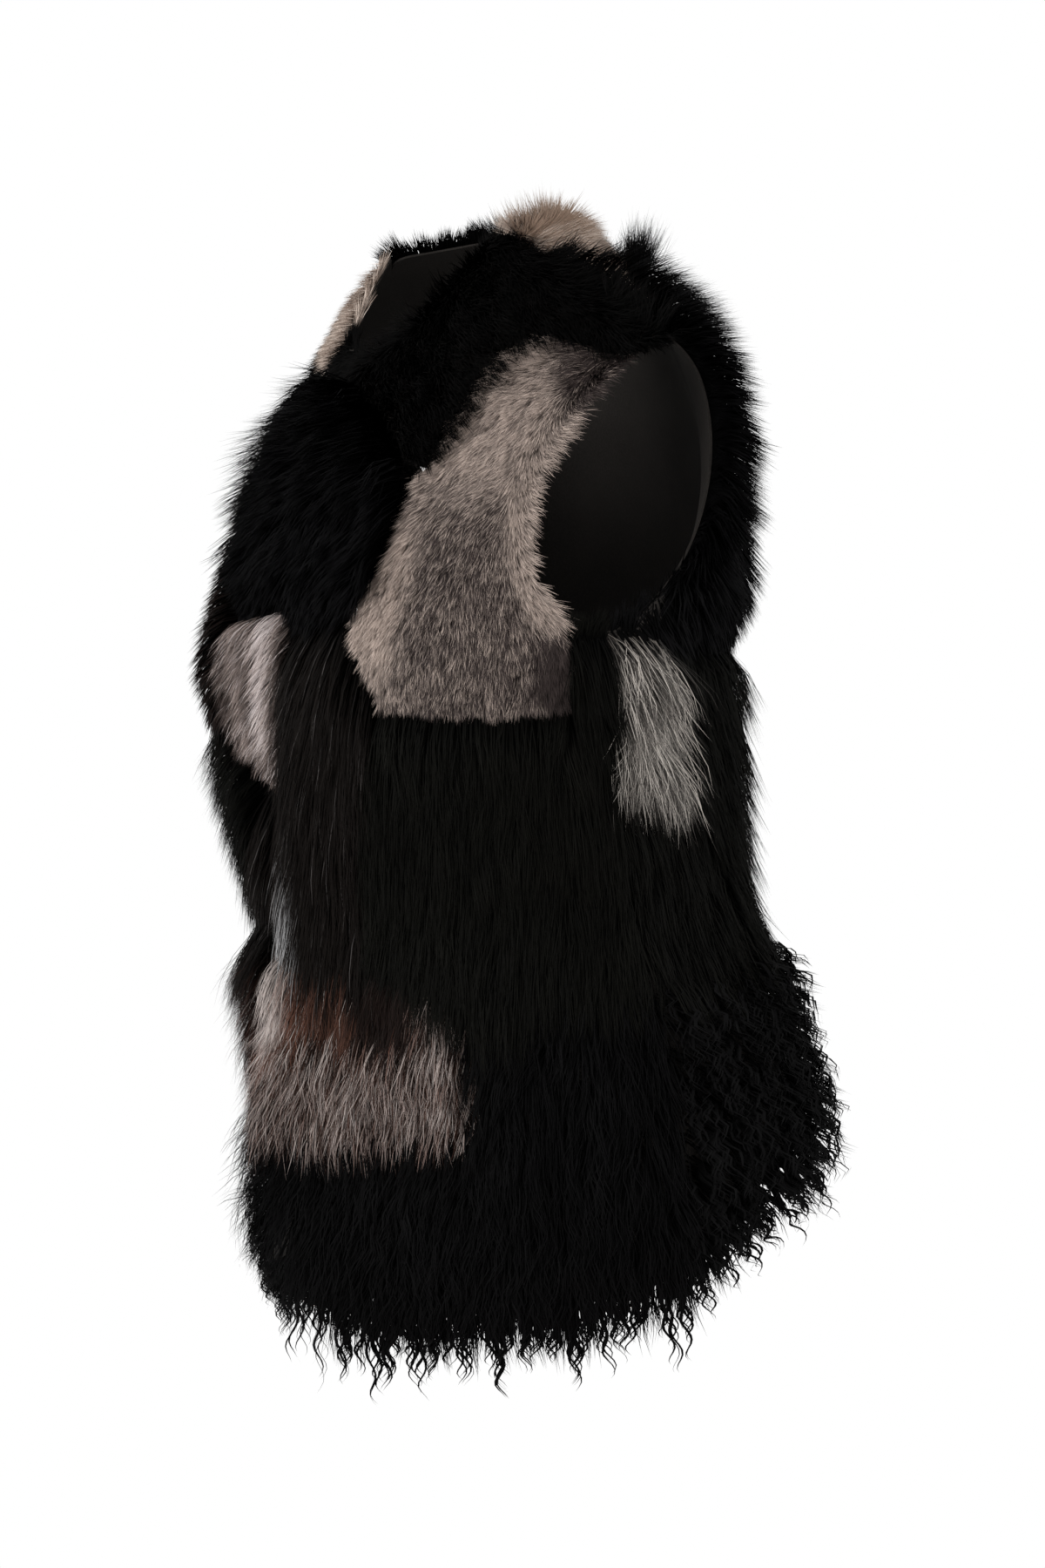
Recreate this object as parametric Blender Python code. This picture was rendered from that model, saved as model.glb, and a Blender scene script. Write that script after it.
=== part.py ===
"""Patchwork fur gilet as worn: round neck, two armholes, an edge-to-edge front and a curly lamb hem.

Metres, +Z up, front towards -Y, wearer's left at +X. The origin lies midway between the shoulder seams at
the neck, where the wearer's shoulders hold the gilet up. Every fur piece is one closed wall, from the leather
side that faces the wearer out to the tips of its pile, and is sewn edge to edge to its neighbours.
"""

import math
from collections import namedtuple

import bmesh
import bpy
import numpy as np
from mathutils import Vector

# Driving dimensions
SEAM_GAP = 0.0004
SEAM_BLEND = 0.6
FREE_EDGE_SHARE = 0.5
FRONT_EDGE_SHARE = 0.75
HEM_CORNER_RISE = 0.066
BACK_POWER = 2.1

# Horizontal sections through the leather side, from the hem up to the underarm
Ring = namedtuple("Ring", "z half_width front back widest front_power bust")
RINGS = [
    Ring(z=-0.640, half_width=0.190, front=-0.112, back=0.198, widest=0.036, front_power=1.50, bust=0.000),
    Ring(z=-0.540, half_width=0.186, front=-0.111, back=0.196, widest=0.036, front_power=1.50, bust=0.000),
    Ring(z=-0.450, half_width=0.173, front=-0.110, back=0.176, widest=0.030, front_power=1.50, bust=0.000),
    Ring(z=-0.380, half_width=0.160, front=-0.112, back=0.148, widest=0.024, front_power=1.60, bust=0.005),
    Ring(z=-0.310, half_width=0.162, front=-0.109, back=0.142, widest=0.020, front_power=2.00, bust=0.013),
    Ring(z=-0.245, half_width=0.166, front=-0.104, back=0.139, widest=0.018, front_power=2.40, bust=0.017),
    Ring(z=-0.205, half_width=0.166, front=-0.097, back=0.135, widest=0.016, front_power=2.50, bust=0.014),
]
BUST_ASIDE, BUST_HALF_WIDTH = 0.090, 0.055

# Upright lines of the pattern, from centre front round the left side to centre back: cells up to each line
COLUMNS = {
    "centre_front": 0,
    "strip": 4,
    "fox": 7,
    "armhole_front": 10,
    "armhole_back": 12,
    "side_back": 18,
    "centre_back": 24,
}
# Level lines of the body below the underarm: cells up to each line
BODY_ROWS = {"hem": 0, "fox_bottom": 5, "fox_top": 9, "waist": 13, "patch_bottom": 15, "underarm": 17}
# Level lines of the front and back above the underarm
FRONT_ROWS = {"underarm": 0, "shoulder_seam": 4, "top": 8}
BACK_ROWS = {"underarm": 0, "neck_patch": 7, "top": 10}
# Seams that run between those lines: cells up to each
COLUMN_SEAMS = {"neck_patch_end": 2, "fox_patch_back": 15, "neck_patch_side": 16}
ROW_SEAMS = {"front_neck_patch": 6}

# Height of each body line at each upright line
Level = namedtuple("Level", "line centre_front strip fox armhole_front armhole_back side_back centre_back")
LEVELS = [
    Level("hem", -0.600, -0.605, -0.602, -0.592, -0.580, -0.528, -0.490),
    Level("fox_bottom", -0.500, -0.503, -0.508, -0.508, -0.505, -0.470, -0.450),
    Level("fox_top", -0.412, -0.410, -0.420, -0.430, -0.430, -0.415, -0.405),
    Level("waist", -0.318, -0.318, -0.316, -0.312, -0.310, -0.310, -0.310),
    Level("patch_bottom", -0.270, -0.274, -0.277, -0.275, -0.272, -0.270, -0.270),
    Level("underarm", -0.218, -0.224, -0.230, -0.235, -0.237, -0.236, -0.236),
]
# Share of the half girth, measured from centre front, at which each upright line crosses each body line
Share = namedtuple("Share", "line strip fox armhole_front armhole_back side_back")
SHARES = [
    Share("hem", 0.175, 0.285, 0.430, 0.490, 0.690),
    Share("fox_bottom", 0.172, 0.278, 0.430, 0.490, 0.690),
    Share("fox_top", 0.168, 0.262, 0.435, 0.495, 0.690),
    Share("waist", 0.180, 0.295, 0.440, 0.498, 0.680),
    Share("patch_bottom", 0.220, 0.320, 0.447, 0.498, 0.670),
    Share("underarm", 0.168, 0.305, 0.447, 0.495, 0.660),
]
# On the right the strip line swings in to centre front, so that the patch above it ends in a point
RIGHT_STRIP_SHARES = {"waist": 0.050, "patch_bottom": 0.132}
# Soft upright folds that open towards the hem: centre and half width as shares of the half girth
Fold = namedtuple("Fold", "share half_width top depth")
FOLDS = [
    Fold(share=0.375, half_width=0.030, top=-0.36, depth=0.010),
    Fold(share=0.560, half_width=0.040, top=-0.38, depth=0.007),
    Fold(share=0.800, half_width=0.045, top=-0.36, depth=0.009),
]

# Neck opening: the leather edge runs from centre front over the shoulder point to centre back
NECK_HALF_WIDTH = 0.075
NECK_FRONT_Y, NECK_FRONT_Z = -0.058, -0.076
SHOULDER_POINT_Y, SHOULDER_POINT_Z = -0.010, -0.005
NECK_BACK_Y, NECK_BACK_Z = 0.056, 0.008
SHOULDER_TIP = (0.185, 0.038, -0.074)

# Upright curves above the underarm: each starts on the top ring and bends past two points to its end
Guide = namedtuple("Guide", "column lower upper seam_share")
FRONT_GUIDES = [
    Guide("centre_front", (0.000, -0.094, -0.170), (0.000, -0.080, -0.115), 0.90),
    Guide("strip", (0.112, -0.070, -0.178), (0.098, -0.042, -0.030), 0.35),
    Guide("fox", (0.128, -0.062, -0.172), (0.130, -0.034, -0.052), 0.73),
    Guide("armhole_front", (0.133, -0.070, -0.208), (0.152, -0.024, -0.090), 0.88),
]
BACK_GUIDES = [
    Guide("armhole_back", (0.152, 0.088, -0.210), (0.170, 0.092, -0.096), 0.80),
    Guide("side_back", (0.132, 0.112, -0.150), (0.108, 0.090, -0.004), 0.74),
    Guide("centre_back", (0.000, 0.135, -0.130), (0.000, 0.104, -0.026), 0.74),
]

# Kinds of fur: depth of the pile with its leather, and the plain finish of the solid
Fur = namedtuple("Fur", "depth colour roughness")
FURS = {
    "black_short": Fur(0.018, (0.012, 0.011, 0.011), 0.75),
    "black_long": Fur(0.030, (0.010, 0.010, 0.011), 0.65),
    "black_strip": Fur(0.020, (0.020, 0.017, 0.017), 0.45),
    "black_body": Fur(0.018, (0.014, 0.014, 0.012), 0.70),
    "brown_black": Fur(0.024, (0.026, 0.018, 0.016), 0.65),
    "grey": Fur(0.012, (0.250, 0.220, 0.205), 0.80),
    "pale_stripe": Fur(0.020, (0.330, 0.280, 0.265), 0.80),
    "beige": Fur(0.014, (0.480, 0.400, 0.330), 0.85),
    "fox": Fur(0.028, (0.230, 0.195, 0.180), 0.70),
    "silver_fox": Fur(0.022, (0.550, 0.520, 0.480), 0.70),
    "lamb": Fur(0.022, (0.010, 0.010, 0.010), 0.60),
}

# The sewn pieces: their fur, and the blocks of the pattern that they cover on each half
Block = namedtuple("Block", "part from_column to_column from_row to_row")
Piece = namedtuple("Piece", "name fur blocks")
ARMHOLE_FURS = {"left": "grey", "right": "brown_black"}


def front_pieces(side):
    """The pieces that both fronts have, with the underarm patch behind each."""
    return [
        Piece(f"{side}_front_chest", "black_long", {side: [
            Block("front", "centre_front", "strip", "underarm", "shoulder_seam"),
        ]}),
        Piece(f"{side}_front_armhole_patch", ARMHOLE_FURS[side], {side: [
            Block("front", "strip", "armhole_front", "underarm", "shoulder_seam"),
            Block("body", "strip", "armhole_front", "patch_bottom", "underarm"),
        ]}),
        Piece(f"{side}_front_side", "black_body", {side: [
            Block("body", "strip", "armhole_back", "fox_top", "patch_bottom"),
            Block("body", "armhole_front", "armhole_back", "patch_bottom", "underarm"),
        ]}),
        Piece(f"{side}_front_fox_panel", "fox", {side: [
            Block("body", "centre_front", "fox", "fox_bottom", "fox_top"),
        ]}),
        Piece(f"{side}_front_lamb", "lamb", {side: [
            Block("body", "centre_front", "armhole_back", "hem", "fox_bottom"),
            Block("body", "fox", "armhole_back", "fox_bottom", "fox_top"),
        ]}),
        Piece(f"back_{side}_fox_patch", "silver_fox", {side: [
            Block("body", "armhole_back", "fox_patch_back", "waist", "underarm"),
        ]}),
    ]


def on_both(*blocks):
    """The same blocks on both halves."""
    return {"left": list(blocks), "right": list(blocks)}


BACK_NECK = Block("back", "neck_patch_side", "centre_back", "neck_patch", "top")
YOKE = [
    Block("back", "armhole_back", "centre_back", "underarm", "neck_patch"),
    Block("back", "armhole_back", "neck_patch_side", "neck_patch", "top"),
]
PIECES = [
    *front_pieces("left"),
    *front_pieces("right"),
    Piece("left_front_shoulder", "black_short", {"left": [
        Block("front", "centre_front", "armhole_front", "shoulder_seam", "top"),
    ]}),
    Piece("left_front_centre_strip", "black_strip", {"left": [
        Block("body", "centre_front", "strip", "fox_top", "underarm"),
    ]}),
    Piece("right_front_shoulder", "black_short", {"right": [
        Block("front", "strip", "armhole_front", "shoulder_seam", "top"),
        Block("front", "centre_front", "strip", "shoulder_seam", "front_neck_patch"),
        Block("front", "centre_front", "neck_patch_end", "front_neck_patch", "top"),
    ]}),
    Piece("right_front_neck_patch", "beige", {"right": [
        Block("front", "neck_patch_end", "strip", "front_neck_patch", "top"),
    ]}),
    Piece("right_front_centre_patch", "pale_stripe", {"right": [
        Block("body", "centre_front", "strip", "waist", "underarm"),
    ]}),
    Piece("right_front_centre_strip", "black_strip", {"right": [
        Block("body", "centre_front", "strip", "fox_top", "waist"),
    ]}),
    Piece("back_neck_patch", "beige", {"left": [BACK_NECK]}),
    Piece("back_yoke", "black_long", {"left": YOKE, "right": [*YOKE, BACK_NECK]}),
    Piece("back_body", "black_body", on_both(
        Block("body", "fox_patch_back", "centre_back", "waist", "underarm"),
        Block("body", "armhole_back", "centre_back", "fox_top", "waist"),
    )),
    Piece("back_lamb", "lamb", on_both(
        Block("body", "armhole_back", "centre_back", "hem", "fox_top"),
    )),
]

# Hem locks: one row under each lamb panel
LOCK_STRIP_HEIGHT = 0.006
LOCK_STRIP_INNER, LOCK_STRIP_OUTER = 0.003, 0.010
LOCK_SPACING = 0.0076
LOCK_SECTIONS = 4
LOCK_LENGTH, LOCK_LENGTH_SPREAD, LOCK_LENGTH_STEP = 0.038, 0.012, 2.4
LOCK_WAVE, LOCK_WAVE_TURN = 0.0050, 6.5
LOCK_PHASE, LOCK_PHASE_STEP = 1.7, 0.9
LOCK_ROOT_INSET = 0.0012
LOCK_TAPER = 0.70
STEEPEST_LOCKED_EDGE = 0.80

RING_STEPS = 240
TANGENT_STEP = 0.004
SAME_PLACE = 1e-6
SHARPEST_SMOOTH = math.radians(50)
LEAST_MITRE = 0.3


def smooth(at, xs, ys):
    """Smooth curve through the points (xs, ys) that never overshoots them; xs rise."""
    steps = np.diff(xs)
    slopes = np.diff(ys) / steps
    tangents = np.concatenate([slopes[:1], np.zeros(len(xs) - 2), slopes[-1:]])
    for k in range(1, len(xs) - 1):
        if slopes[k - 1] * slopes[k] > 0:
            before, after = 2 * steps[k] + steps[k - 1], steps[k] + 2 * steps[k - 1]
            tangents[k] = (before + after) / (before / slopes[k - 1] + after / slopes[k])
    k = int(np.clip(np.searchsorted(xs, at) - 1, 0, len(xs) - 2))
    t = (at - xs[k]) / steps[k]
    rise = steps[k]
    return (
        (2 * t**3 - 3 * t**2 + 1) * ys[k] + (t**3 - 2 * t**2 + t) * rise * tangents[k]
        + (3 * t**2 - 2 * t**3) * ys[k + 1] + (t**3 - t**2) * rise * tangents[k + 1]
    )


def half_ring(z):
    """Points of the left half of the section at height z, from centre front to back, and their shares."""
    heights = [ring.z for ring in RINGS]
    size = {
        name: smooth(z, heights, [getattr(ring, name) for ring in RINGS])
        for name in Ring._fields[1:]
    }
    turn = np.linspace(0, math.pi, RING_STEPS + 1)
    power = np.where(turn <= math.pi / 2, 2 / size["front_power"], 2 / BACK_POWER)
    depth = np.where(turn <= math.pi / 2, size["widest"] - size["front"], size["back"] - size["widest"])
    across = np.abs(np.sin(turn)) ** power
    across[-1] = 0
    along = -np.sign(np.cos(turn)) * np.abs(np.cos(turn)) ** power
    points = np.stack([size["half_width"] * across, size["widest"] + depth * along], axis=1)
    rounding = np.exp(-(((points[:, 0] - BUST_ASIDE) / BUST_HALF_WIDTH) ** 2))
    points[:, 1] -= np.where(turn <= math.pi / 2, np.cos(turn) * size["bust"] * rounding, 0)
    lengths = np.concatenate([[0], np.cumsum(np.linalg.norm(np.diff(points, axis=0), axis=1))])
    return points, lengths / lengths[-1]


def ring_point(share, z):
    """Point of the leather side at a share of the half girth and a height, with the folds pressed in."""
    points, shares = half_ring(z)
    x, y = (np.interp(share, shares, points[:, k]) for k in (0, 1))
    ahead, behind = min(share + TANGENT_STEP, 1), max(share - TANGENT_STEP, 0)
    tangent = [np.diff(np.interp((behind, ahead), shares, points[:, k]))[0] for k in (0, 1)]
    outward = np.array([tangent[1], -tangent[0]]) / math.hypot(*tangent)
    for fold in FOLDS:
        open_by = np.clip((fold.top - z) / (fold.top - RINGS[0].z), 0, 1)
        pressed = fold.depth * open_by * math.exp(-(((share - fold.share) / fold.half_width) ** 2))
        x, y = x - pressed * outward[0], y - pressed * outward[1]
    if share in (0, 1):
        x = 0
    return np.array([x, y, z])


def line_position(index, lines):
    """Where a cell line lies among named lines: the whole number of the line before it plus the share on."""
    marks = list(lines.values())
    return float(np.interp(index, marks, range(len(marks))))


def column_share(column, row, side):
    """Share of the half girth at a cell corner of the body."""
    shares = SHARES
    if side == "right":
        shares = [share._replace(strip=RIGHT_STRIP_SHARES.get(share.line, share.strip)) for share in SHARES]
    at_row = line_position(row, BODY_ROWS)
    known = []
    for name in Share._fields[1:]:
        known.append(smooth(at_row, range(len(shares)), [getattr(share, name) for share in shares]))
    return smooth(column, list(COLUMNS.values()), [0, *known, 1])


def row_height(column, row):
    """Height at a cell corner of the body, with the round front corner of the hem."""
    levels = [smooth(column, list(COLUMNS.values()), level[1:]) for level in LEVELS]
    if column < COLUMNS["strip"]:
        away = 1 - column / COLUMNS["strip"]
        levels[0] += HEM_CORNER_RISE * (1 - math.sqrt(1 - away**2))
    return float(np.interp(row, list(BODY_ROWS.values()), levels))


def neck_point(turn):
    """Point on the neck edge: turn is 0 at centre front and half a circle at centre back."""
    aside, ahead = math.sin(turn), math.cos(turn)
    if ahead > 0:
        y = SHOULDER_POINT_Y + (NECK_FRONT_Y - SHOULDER_POINT_Y) * ahead
        z = SHOULDER_POINT_Z + (NECK_FRONT_Z - SHOULDER_POINT_Z) * ahead
    else:
        y = SHOULDER_POINT_Y - (NECK_BACK_Y - SHOULDER_POINT_Y) * ahead
        z = SHOULDER_POINT_Z - (NECK_BACK_Z - SHOULDER_POINT_Z) * ahead
    return np.array([NECK_HALF_WIDTH * aside if abs(ahead) < 1 else 0, y, z])


def shoulder_point(share):
    """Point on the shoulder seam, from the neck at 0 to the tip at 1."""
    neck = neck_point(math.pi / 2)
    return neck + share * (np.array(SHOULDER_TIP) - neck)


def top_point(column):
    """Where an upright line ends: on the neck edge or the shoulder seam, in front or behind."""
    if column <= COLUMNS["strip"]:
        return neck_point(math.pi / 2 * column / COLUMNS["strip"])
    if column <= COLUMNS["armhole_front"]:
        span = COLUMNS["armhole_front"] - COLUMNS["strip"]
        return shoulder_point((column - COLUMNS["strip"]) / span)
    if column <= COLUMNS["side_back"]:
        span = COLUMNS["side_back"] - COLUMNS["armhole_back"]
        return shoulder_point((COLUMNS["side_back"] - column) / span)
    span = COLUMNS["centre_back"] - COLUMNS["side_back"]
    return neck_point(math.pi / 2 * (1 + (column - COLUMNS["side_back"]) / span))


def upright(column, guides, share):
    """Point on an upright curve above the underarm, share 0 at the top ring and 1 at the neck or shoulder."""
    marks = [COLUMNS[guide.column] for guide in guides]
    bends = []
    for name in ("lower", "upper"):
        bends.append(np.array([
            smooth(column, marks, [getattr(guide, name)[k] for guide in guides]) for k in range(3)
        ]))
    start = body_point(column, BODY_ROWS["underarm"], "left")
    rest = 1 - share
    return (
        rest**3 * start + 3 * rest**2 * share * bends[0]
        + 3 * rest * share**2 * bends[1] + share**3 * top_point(column)
    )


def body_point(column, row, side):
    """Cell corner of the body below the underarm, placed on the left half."""
    return ring_point(column_share(column, row, side), row_height(column, row))


def upper_point(column, row, guides, rows):
    """Cell corner of the front or back above the underarm; the middle line follows the guides' seam share."""
    marks = [COLUMNS[guide.column] for guide in guides]
    seam = smooth(column, marks, [guide.seam_share for guide in guides])
    share = float(np.interp(row, list(rows.values()), [0, seam, 1]))
    return upright(column, guides, share)


# Each part of the pattern: its first and last upright line, its level lines, and its cell corners
Part = namedtuple("Part", "first last rows corner")
PARTS = {
    "body": Part("centre_front", "centre_back", BODY_ROWS, body_point),
    "front": Part(
        "centre_front", "armhole_front", FRONT_ROWS,
        lambda column, row, side: upper_point(column, row, FRONT_GUIDES, FRONT_ROWS),
    ),
    "back": Part(
        "armhole_back", "centre_back", BACK_ROWS,
        lambda column, row, side: upper_point(column, row, BACK_GUIDES, BACK_ROWS),
    ),
}


class Leather:
    """The leather side of the whole gilet: shared corners, their outward normals and their cells."""

    def __init__(self):
        self.points, self.index, self.corner = [], {}, {}
        for part_name, part in PARTS.items():
            for column in range(COLUMNS[part.first], COLUMNS[part.last] + 1):
                for row in range(max(part.rows.values()) + 1):
                    for side, mirror in (("left", 1), ("right", -1)):
                        point = part.corner(column, row, side) * np.array([mirror, 1, 1])
                        self.corner[part_name, side, column, row] = self.number(point)
        self.points = np.array(self.points)
        self.find_normals()

    def number(self, point):
        """Index of a corner; corners at one place share it."""
        key = tuple(round(value / SAME_PLACE) for value in point)
        if key not in self.index:
            self.index[key] = len(self.points)
            self.points.append(point)
        return self.index[key]

    def cells(self, block, side):
        """Corner indices of a block's cells, each going round so that it faces outwards."""
        columns = {**COLUMNS, **COLUMN_SEAMS}
        rows = {**PARTS[block.part].rows, **ROW_SEAMS}
        found = []
        for column in range(columns[block.from_column], columns[block.to_column]):
            for row in range(rows[block.from_row], rows[block.to_row]):
                around = ((0, 0), (1, 0), (1, 1), (0, 1))
                cell = [self.corner[block.part, side, column + i, row + j] for i, j in around]
                found.append(cell if side == "left" else cell[::-1])
        return found

    def all_cells(self):
        """Every cell of the gilet."""
        found = []
        for part_name, part in PARTS.items():
            rows = list(part.rows)
            whole = Block(part_name, part.first, part.last, rows[0], rows[-1])
            found += self.cells(whole, "left") + self.cells(whole, "right")
        return found

    def find_normals(self):
        """Outward normal at every corner, from all the cells around it."""
        self.normals = np.zeros_like(self.points)
        for cell in self.all_cells():
            a, b, c, d = (self.points[k] for k in cell)
            self.normals[cell] += np.cross(c - a, d - b)
        self.normals /= np.linalg.norm(self.normals, axis=1, keepdims=True)

    def edge_shares(self):
        """Share of the pile's depth that is left at each free edge: neck, armholes, hem and centre front."""
        shares = np.ones(len(self.points))
        for a, b in outline_edges(self.all_cells()):
            shares[[a, b]] = FREE_EDGE_SHARE
        for row in range(1, BODY_ROWS["underarm"] + 1):
            shares[self.corner["body", "left", 0, row]] = FRONT_EDGE_SHARE
        for row in range(FRONT_ROWS["top"]):
            shares[self.corner["front", "left", 0, row]] = FRONT_EDGE_SHARE
        return shares


def piece_cells(leather, piece):
    """All cells of a piece, on the halves that it lies on."""
    cells = []
    for side, blocks in piece.blocks.items():
        for block in blocks:
            cells += leather.cells(block, side)
    return cells


def outline_edges(cells):
    """Directed edges on the outline of a set of cells."""
    directed = set()
    for cell in cells:
        directed.update(zip(cell, cell[1:] + cell[:1]))
    return sorted((a, b) for a, b in directed if (b, a) not in directed)


def seam_insets(leather, edges):
    """How far each outline corner moves into its piece, so that pieces stay apart by the seam gap."""
    inward = {}
    for a, b in edges:
        run = leather.points[b] - leather.points[a]
        for corner in (a, b):
            aside = np.cross(leather.normals[corner], run)
            inward.setdefault(corner, []).append(aside / np.linalg.norm(aside))
    insets = {}
    for corner, sides in inward.items():
        first, second = sides[0], sides[-1]
        insets[corner] = (first + second) * SEAM_GAP / 2 / max(1 + float(first @ second), LEAST_MITRE)
    return insets


def seam_depths(leather):
    """Mean pile depth at every corner of the pieces that meet there."""
    total, count = np.zeros(len(leather.points)), np.zeros(len(leather.points))
    for piece in PIECES:
        corners = list({corner for cell in piece_cells(leather, piece) for corner in cell})
        total[corners] += FURS[piece.fur].depth
        count[corners] += 1
    return total / count


def wall_mesh(leather, piece, shares, means):
    """Closed wall of one piece: the leather side, the pile's outer face, and a rim round the outline."""
    cells = piece_cells(leather, piece)
    edges = outline_edges(cells)
    insets = seam_insets(leather, edges)
    corners = sorted({corner for cell in cells for corner in cell})
    place = {corner: k for k, corner in enumerate(corners)}
    depths = shares * (FURS[piece.fur].depth + SEAM_BLEND * (means - FURS[piece.fur].depth))
    inner = [leather.points[k] + insets.get(k, 0) for k in corners]
    outer = [inner[place[k]] + leather.normals[k] * depths[k] for k in corners]
    count = len(corners)
    faces = []
    for cell in cells:
        here = [place[k] for k in cell]
        faces.append([k + count for k in here])
        faces.append(here[::-1])
    for a, b in edges:
        near, far = place[a], place[b]
        if a < b:
            faces.append([near, far, far + count])
            faces.append([near, far + count, near + count])
        else:
            faces.append([near, far, near + count])
            faces.append([far, far + count, near + count])
    mesh = bpy.data.meshes.new(piece.name)
    mesh.from_pydata([tuple(point) for point in inner + outer], [], faces)
    mesh.validate()
    mesh.shade_smooth()
    mesh.set_sharp_from_angle(angle=SHARPEST_SMOOTH)
    return mesh


def plain_finish(name, colour, roughness):
    """Plain principled material."""
    material = bpy.data.materials.new(name)
    material.use_nodes = True
    shader = material.node_tree.nodes["Principled BSDF"]
    shader.inputs["Base Color"].default_value = (*colour, 1)
    shader.inputs["Roughness"].default_value = roughness
    shader.inputs["Metallic"].default_value = 0.0
    return material


def add_object(name, mesh, material, parent):
    """Object for one node, under the gilet's empty."""
    mesh.materials.append(material)
    node = bpy.data.objects.new(name, mesh)
    bpy.context.scene.collection.objects.link(node)
    node.parent = parent
    return node


# A stretch of hem: where it starts and ends round the body, on which half
HemRun = namedtuple("HemRun", "name stretches")
HEM_RUNS = [
    HemRun("left_front_hem_locks", [("left", "centre_front", "armhole_back")]),
    HemRun("right_front_hem_locks", [("right", "armhole_back", "centre_front")]),
    HemRun("back_hem_locks", [
        ("left", "armhole_back", "centre_back"),
        ("right", "centre_back", "armhole_back"),
    ]),
]


def hem_line(leather, run):
    """Corners along a run of the hem, in order, and the direction in which the leather hangs at each."""
    corners, hangs = [], []
    for side, first, last in run.stretches:
        step = 1 if COLUMNS[last] > COLUMNS[first] else -1
        for column in range(COLUMNS[first], COLUMNS[last] + step, step):
            corner = leather.corner["body", side, column, 0]
            if corners and corners[-1] == corner:
                continue
            above = leather.points[leather.corner["body", side, column, 1]]
            hang = leather.points[corner] - above
            corners.append(corner)
            hangs.append(hang / np.linalg.norm(hang))
    return corners, np.array(hangs)


def lock_stations(leather, run):
    """Places along a run of the hem but for its steep ends: point, outward normal and hang at each."""
    corners, hangs = hem_line(leather, run)
    points, normals = leather.points[corners], leather.normals[corners]
    stations = []
    for k in range(len(corners) - 1):
        cell = points[k + 1] - points[k]
        if abs(cell[2]) > STEEPEST_LOCKED_EDGE * np.linalg.norm(cell):
            continue
        count = round(np.linalg.norm(cell) / LOCK_SPACING)
        for share in np.linspace(0, 1, count, endpoint=False):
            stations.append([
                (1 - share) * values[k] + share * values[k + 1] for values in (points, normals, hangs)
            ])
    return np.array(stations)


def lock_mesh(leather, run):
    """A narrow strip just under the lamb's edge, with one wavy lock drawn out of each of its cells."""
    stations = lock_stations(leather, run)
    shape = bmesh.new()
    rings = []
    for point, normal, hang in stations:
        top, bottom = SEAM_GAP, SEAM_GAP + LOCK_STRIP_HEIGHT
        near, far = LOCK_STRIP_INNER, LOCK_STRIP_OUTER
        section = ((top, near), (top, far), (bottom, far), (bottom, near))
        rings.append([shape.verts.new(point + hang * down + normal * out) for down, out in section])
    roots = []
    for before, after in zip(rings, rings[1:]):
        for k in range(4):
            face = shape.faces.new([before[k], after[k], after[(k + 1) % 4], before[(k + 1) % 4]])
            if k == 2:
                roots.append(face)
    shape.faces.new(rings[0])
    shape.faces.new(rings[-1][::-1])
    bmesh.ops.recalc_face_normals(shape, faces=shape.faces)
    for number, root in enumerate(roots):
        draw_lock(shape, root, number, stations[number][1])
    mesh = bpy.data.meshes.new(run.name)
    shape.to_mesh(mesh)
    shape.free()
    mesh.shade_smooth()
    mesh.set_sharp_from_angle(angle=SHARPEST_SMOOTH)
    return mesh


def draw_lock(shape, root, number, outward):
    """Draws one lock out of a root face: inset, then extruded in sections that hang, wave and taper."""
    bmesh.ops.inset_individual(shape, faces=[root], thickness=LOCK_ROOT_INSET)
    length = LOCK_LENGTH + LOCK_LENGTH_SPREAD * math.sin(number * LOCK_LENGTH_STEP)
    phase = LOCK_PHASE * math.sin(number * LOCK_PHASE_STEP)
    shares = np.linspace(0, 1, LOCK_SECTIONS + 1)
    sways = LOCK_WAVE * np.sin(shares * LOCK_WAVE_TURN + phase)
    widths = 1 - LOCK_TAPER * shares
    face = root
    for k in range(LOCK_SECTIONS):
        face = bmesh.ops.extrude_discrete_faces(shape, faces=[face])["faces"][0]
        shift = Vector((0, 0, -length / LOCK_SECTIONS)) + Vector(outward) * (sways[k + 1] - sways[k])
        bmesh.ops.translate(shape, vec=shift, verts=face.verts)
        centre = face.calc_center_median()
        for vert in face.verts:
            vert.co = centre + (vert.co - centre) * (widths[k + 1] / widths[k])


def main():
    for node in list(bpy.data.objects):
        bpy.data.objects.remove(node)
    gilet = bpy.data.objects.new("gilet", None)
    bpy.context.scene.collection.objects.link(gilet)
    finishes = {name: plain_finish(name, fur.colour, fur.roughness) for name, fur in FURS.items()}
    leather = Leather()
    shares = leather.edge_shares()
    means = seam_depths(leather)
    for piece in PIECES:
        add_object(piece.name, wall_mesh(leather, piece, shares, means), finishes[piece.fur], gilet)
    for run in HEM_RUNS:
        add_object(run.name, lock_mesh(leather, run), finishes["lamb"], gilet)


main()
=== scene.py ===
import math
from collections import namedtuple

import bmesh
import bpy
import numpy as np
from mathutils import Matrix, Vector, noise


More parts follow.
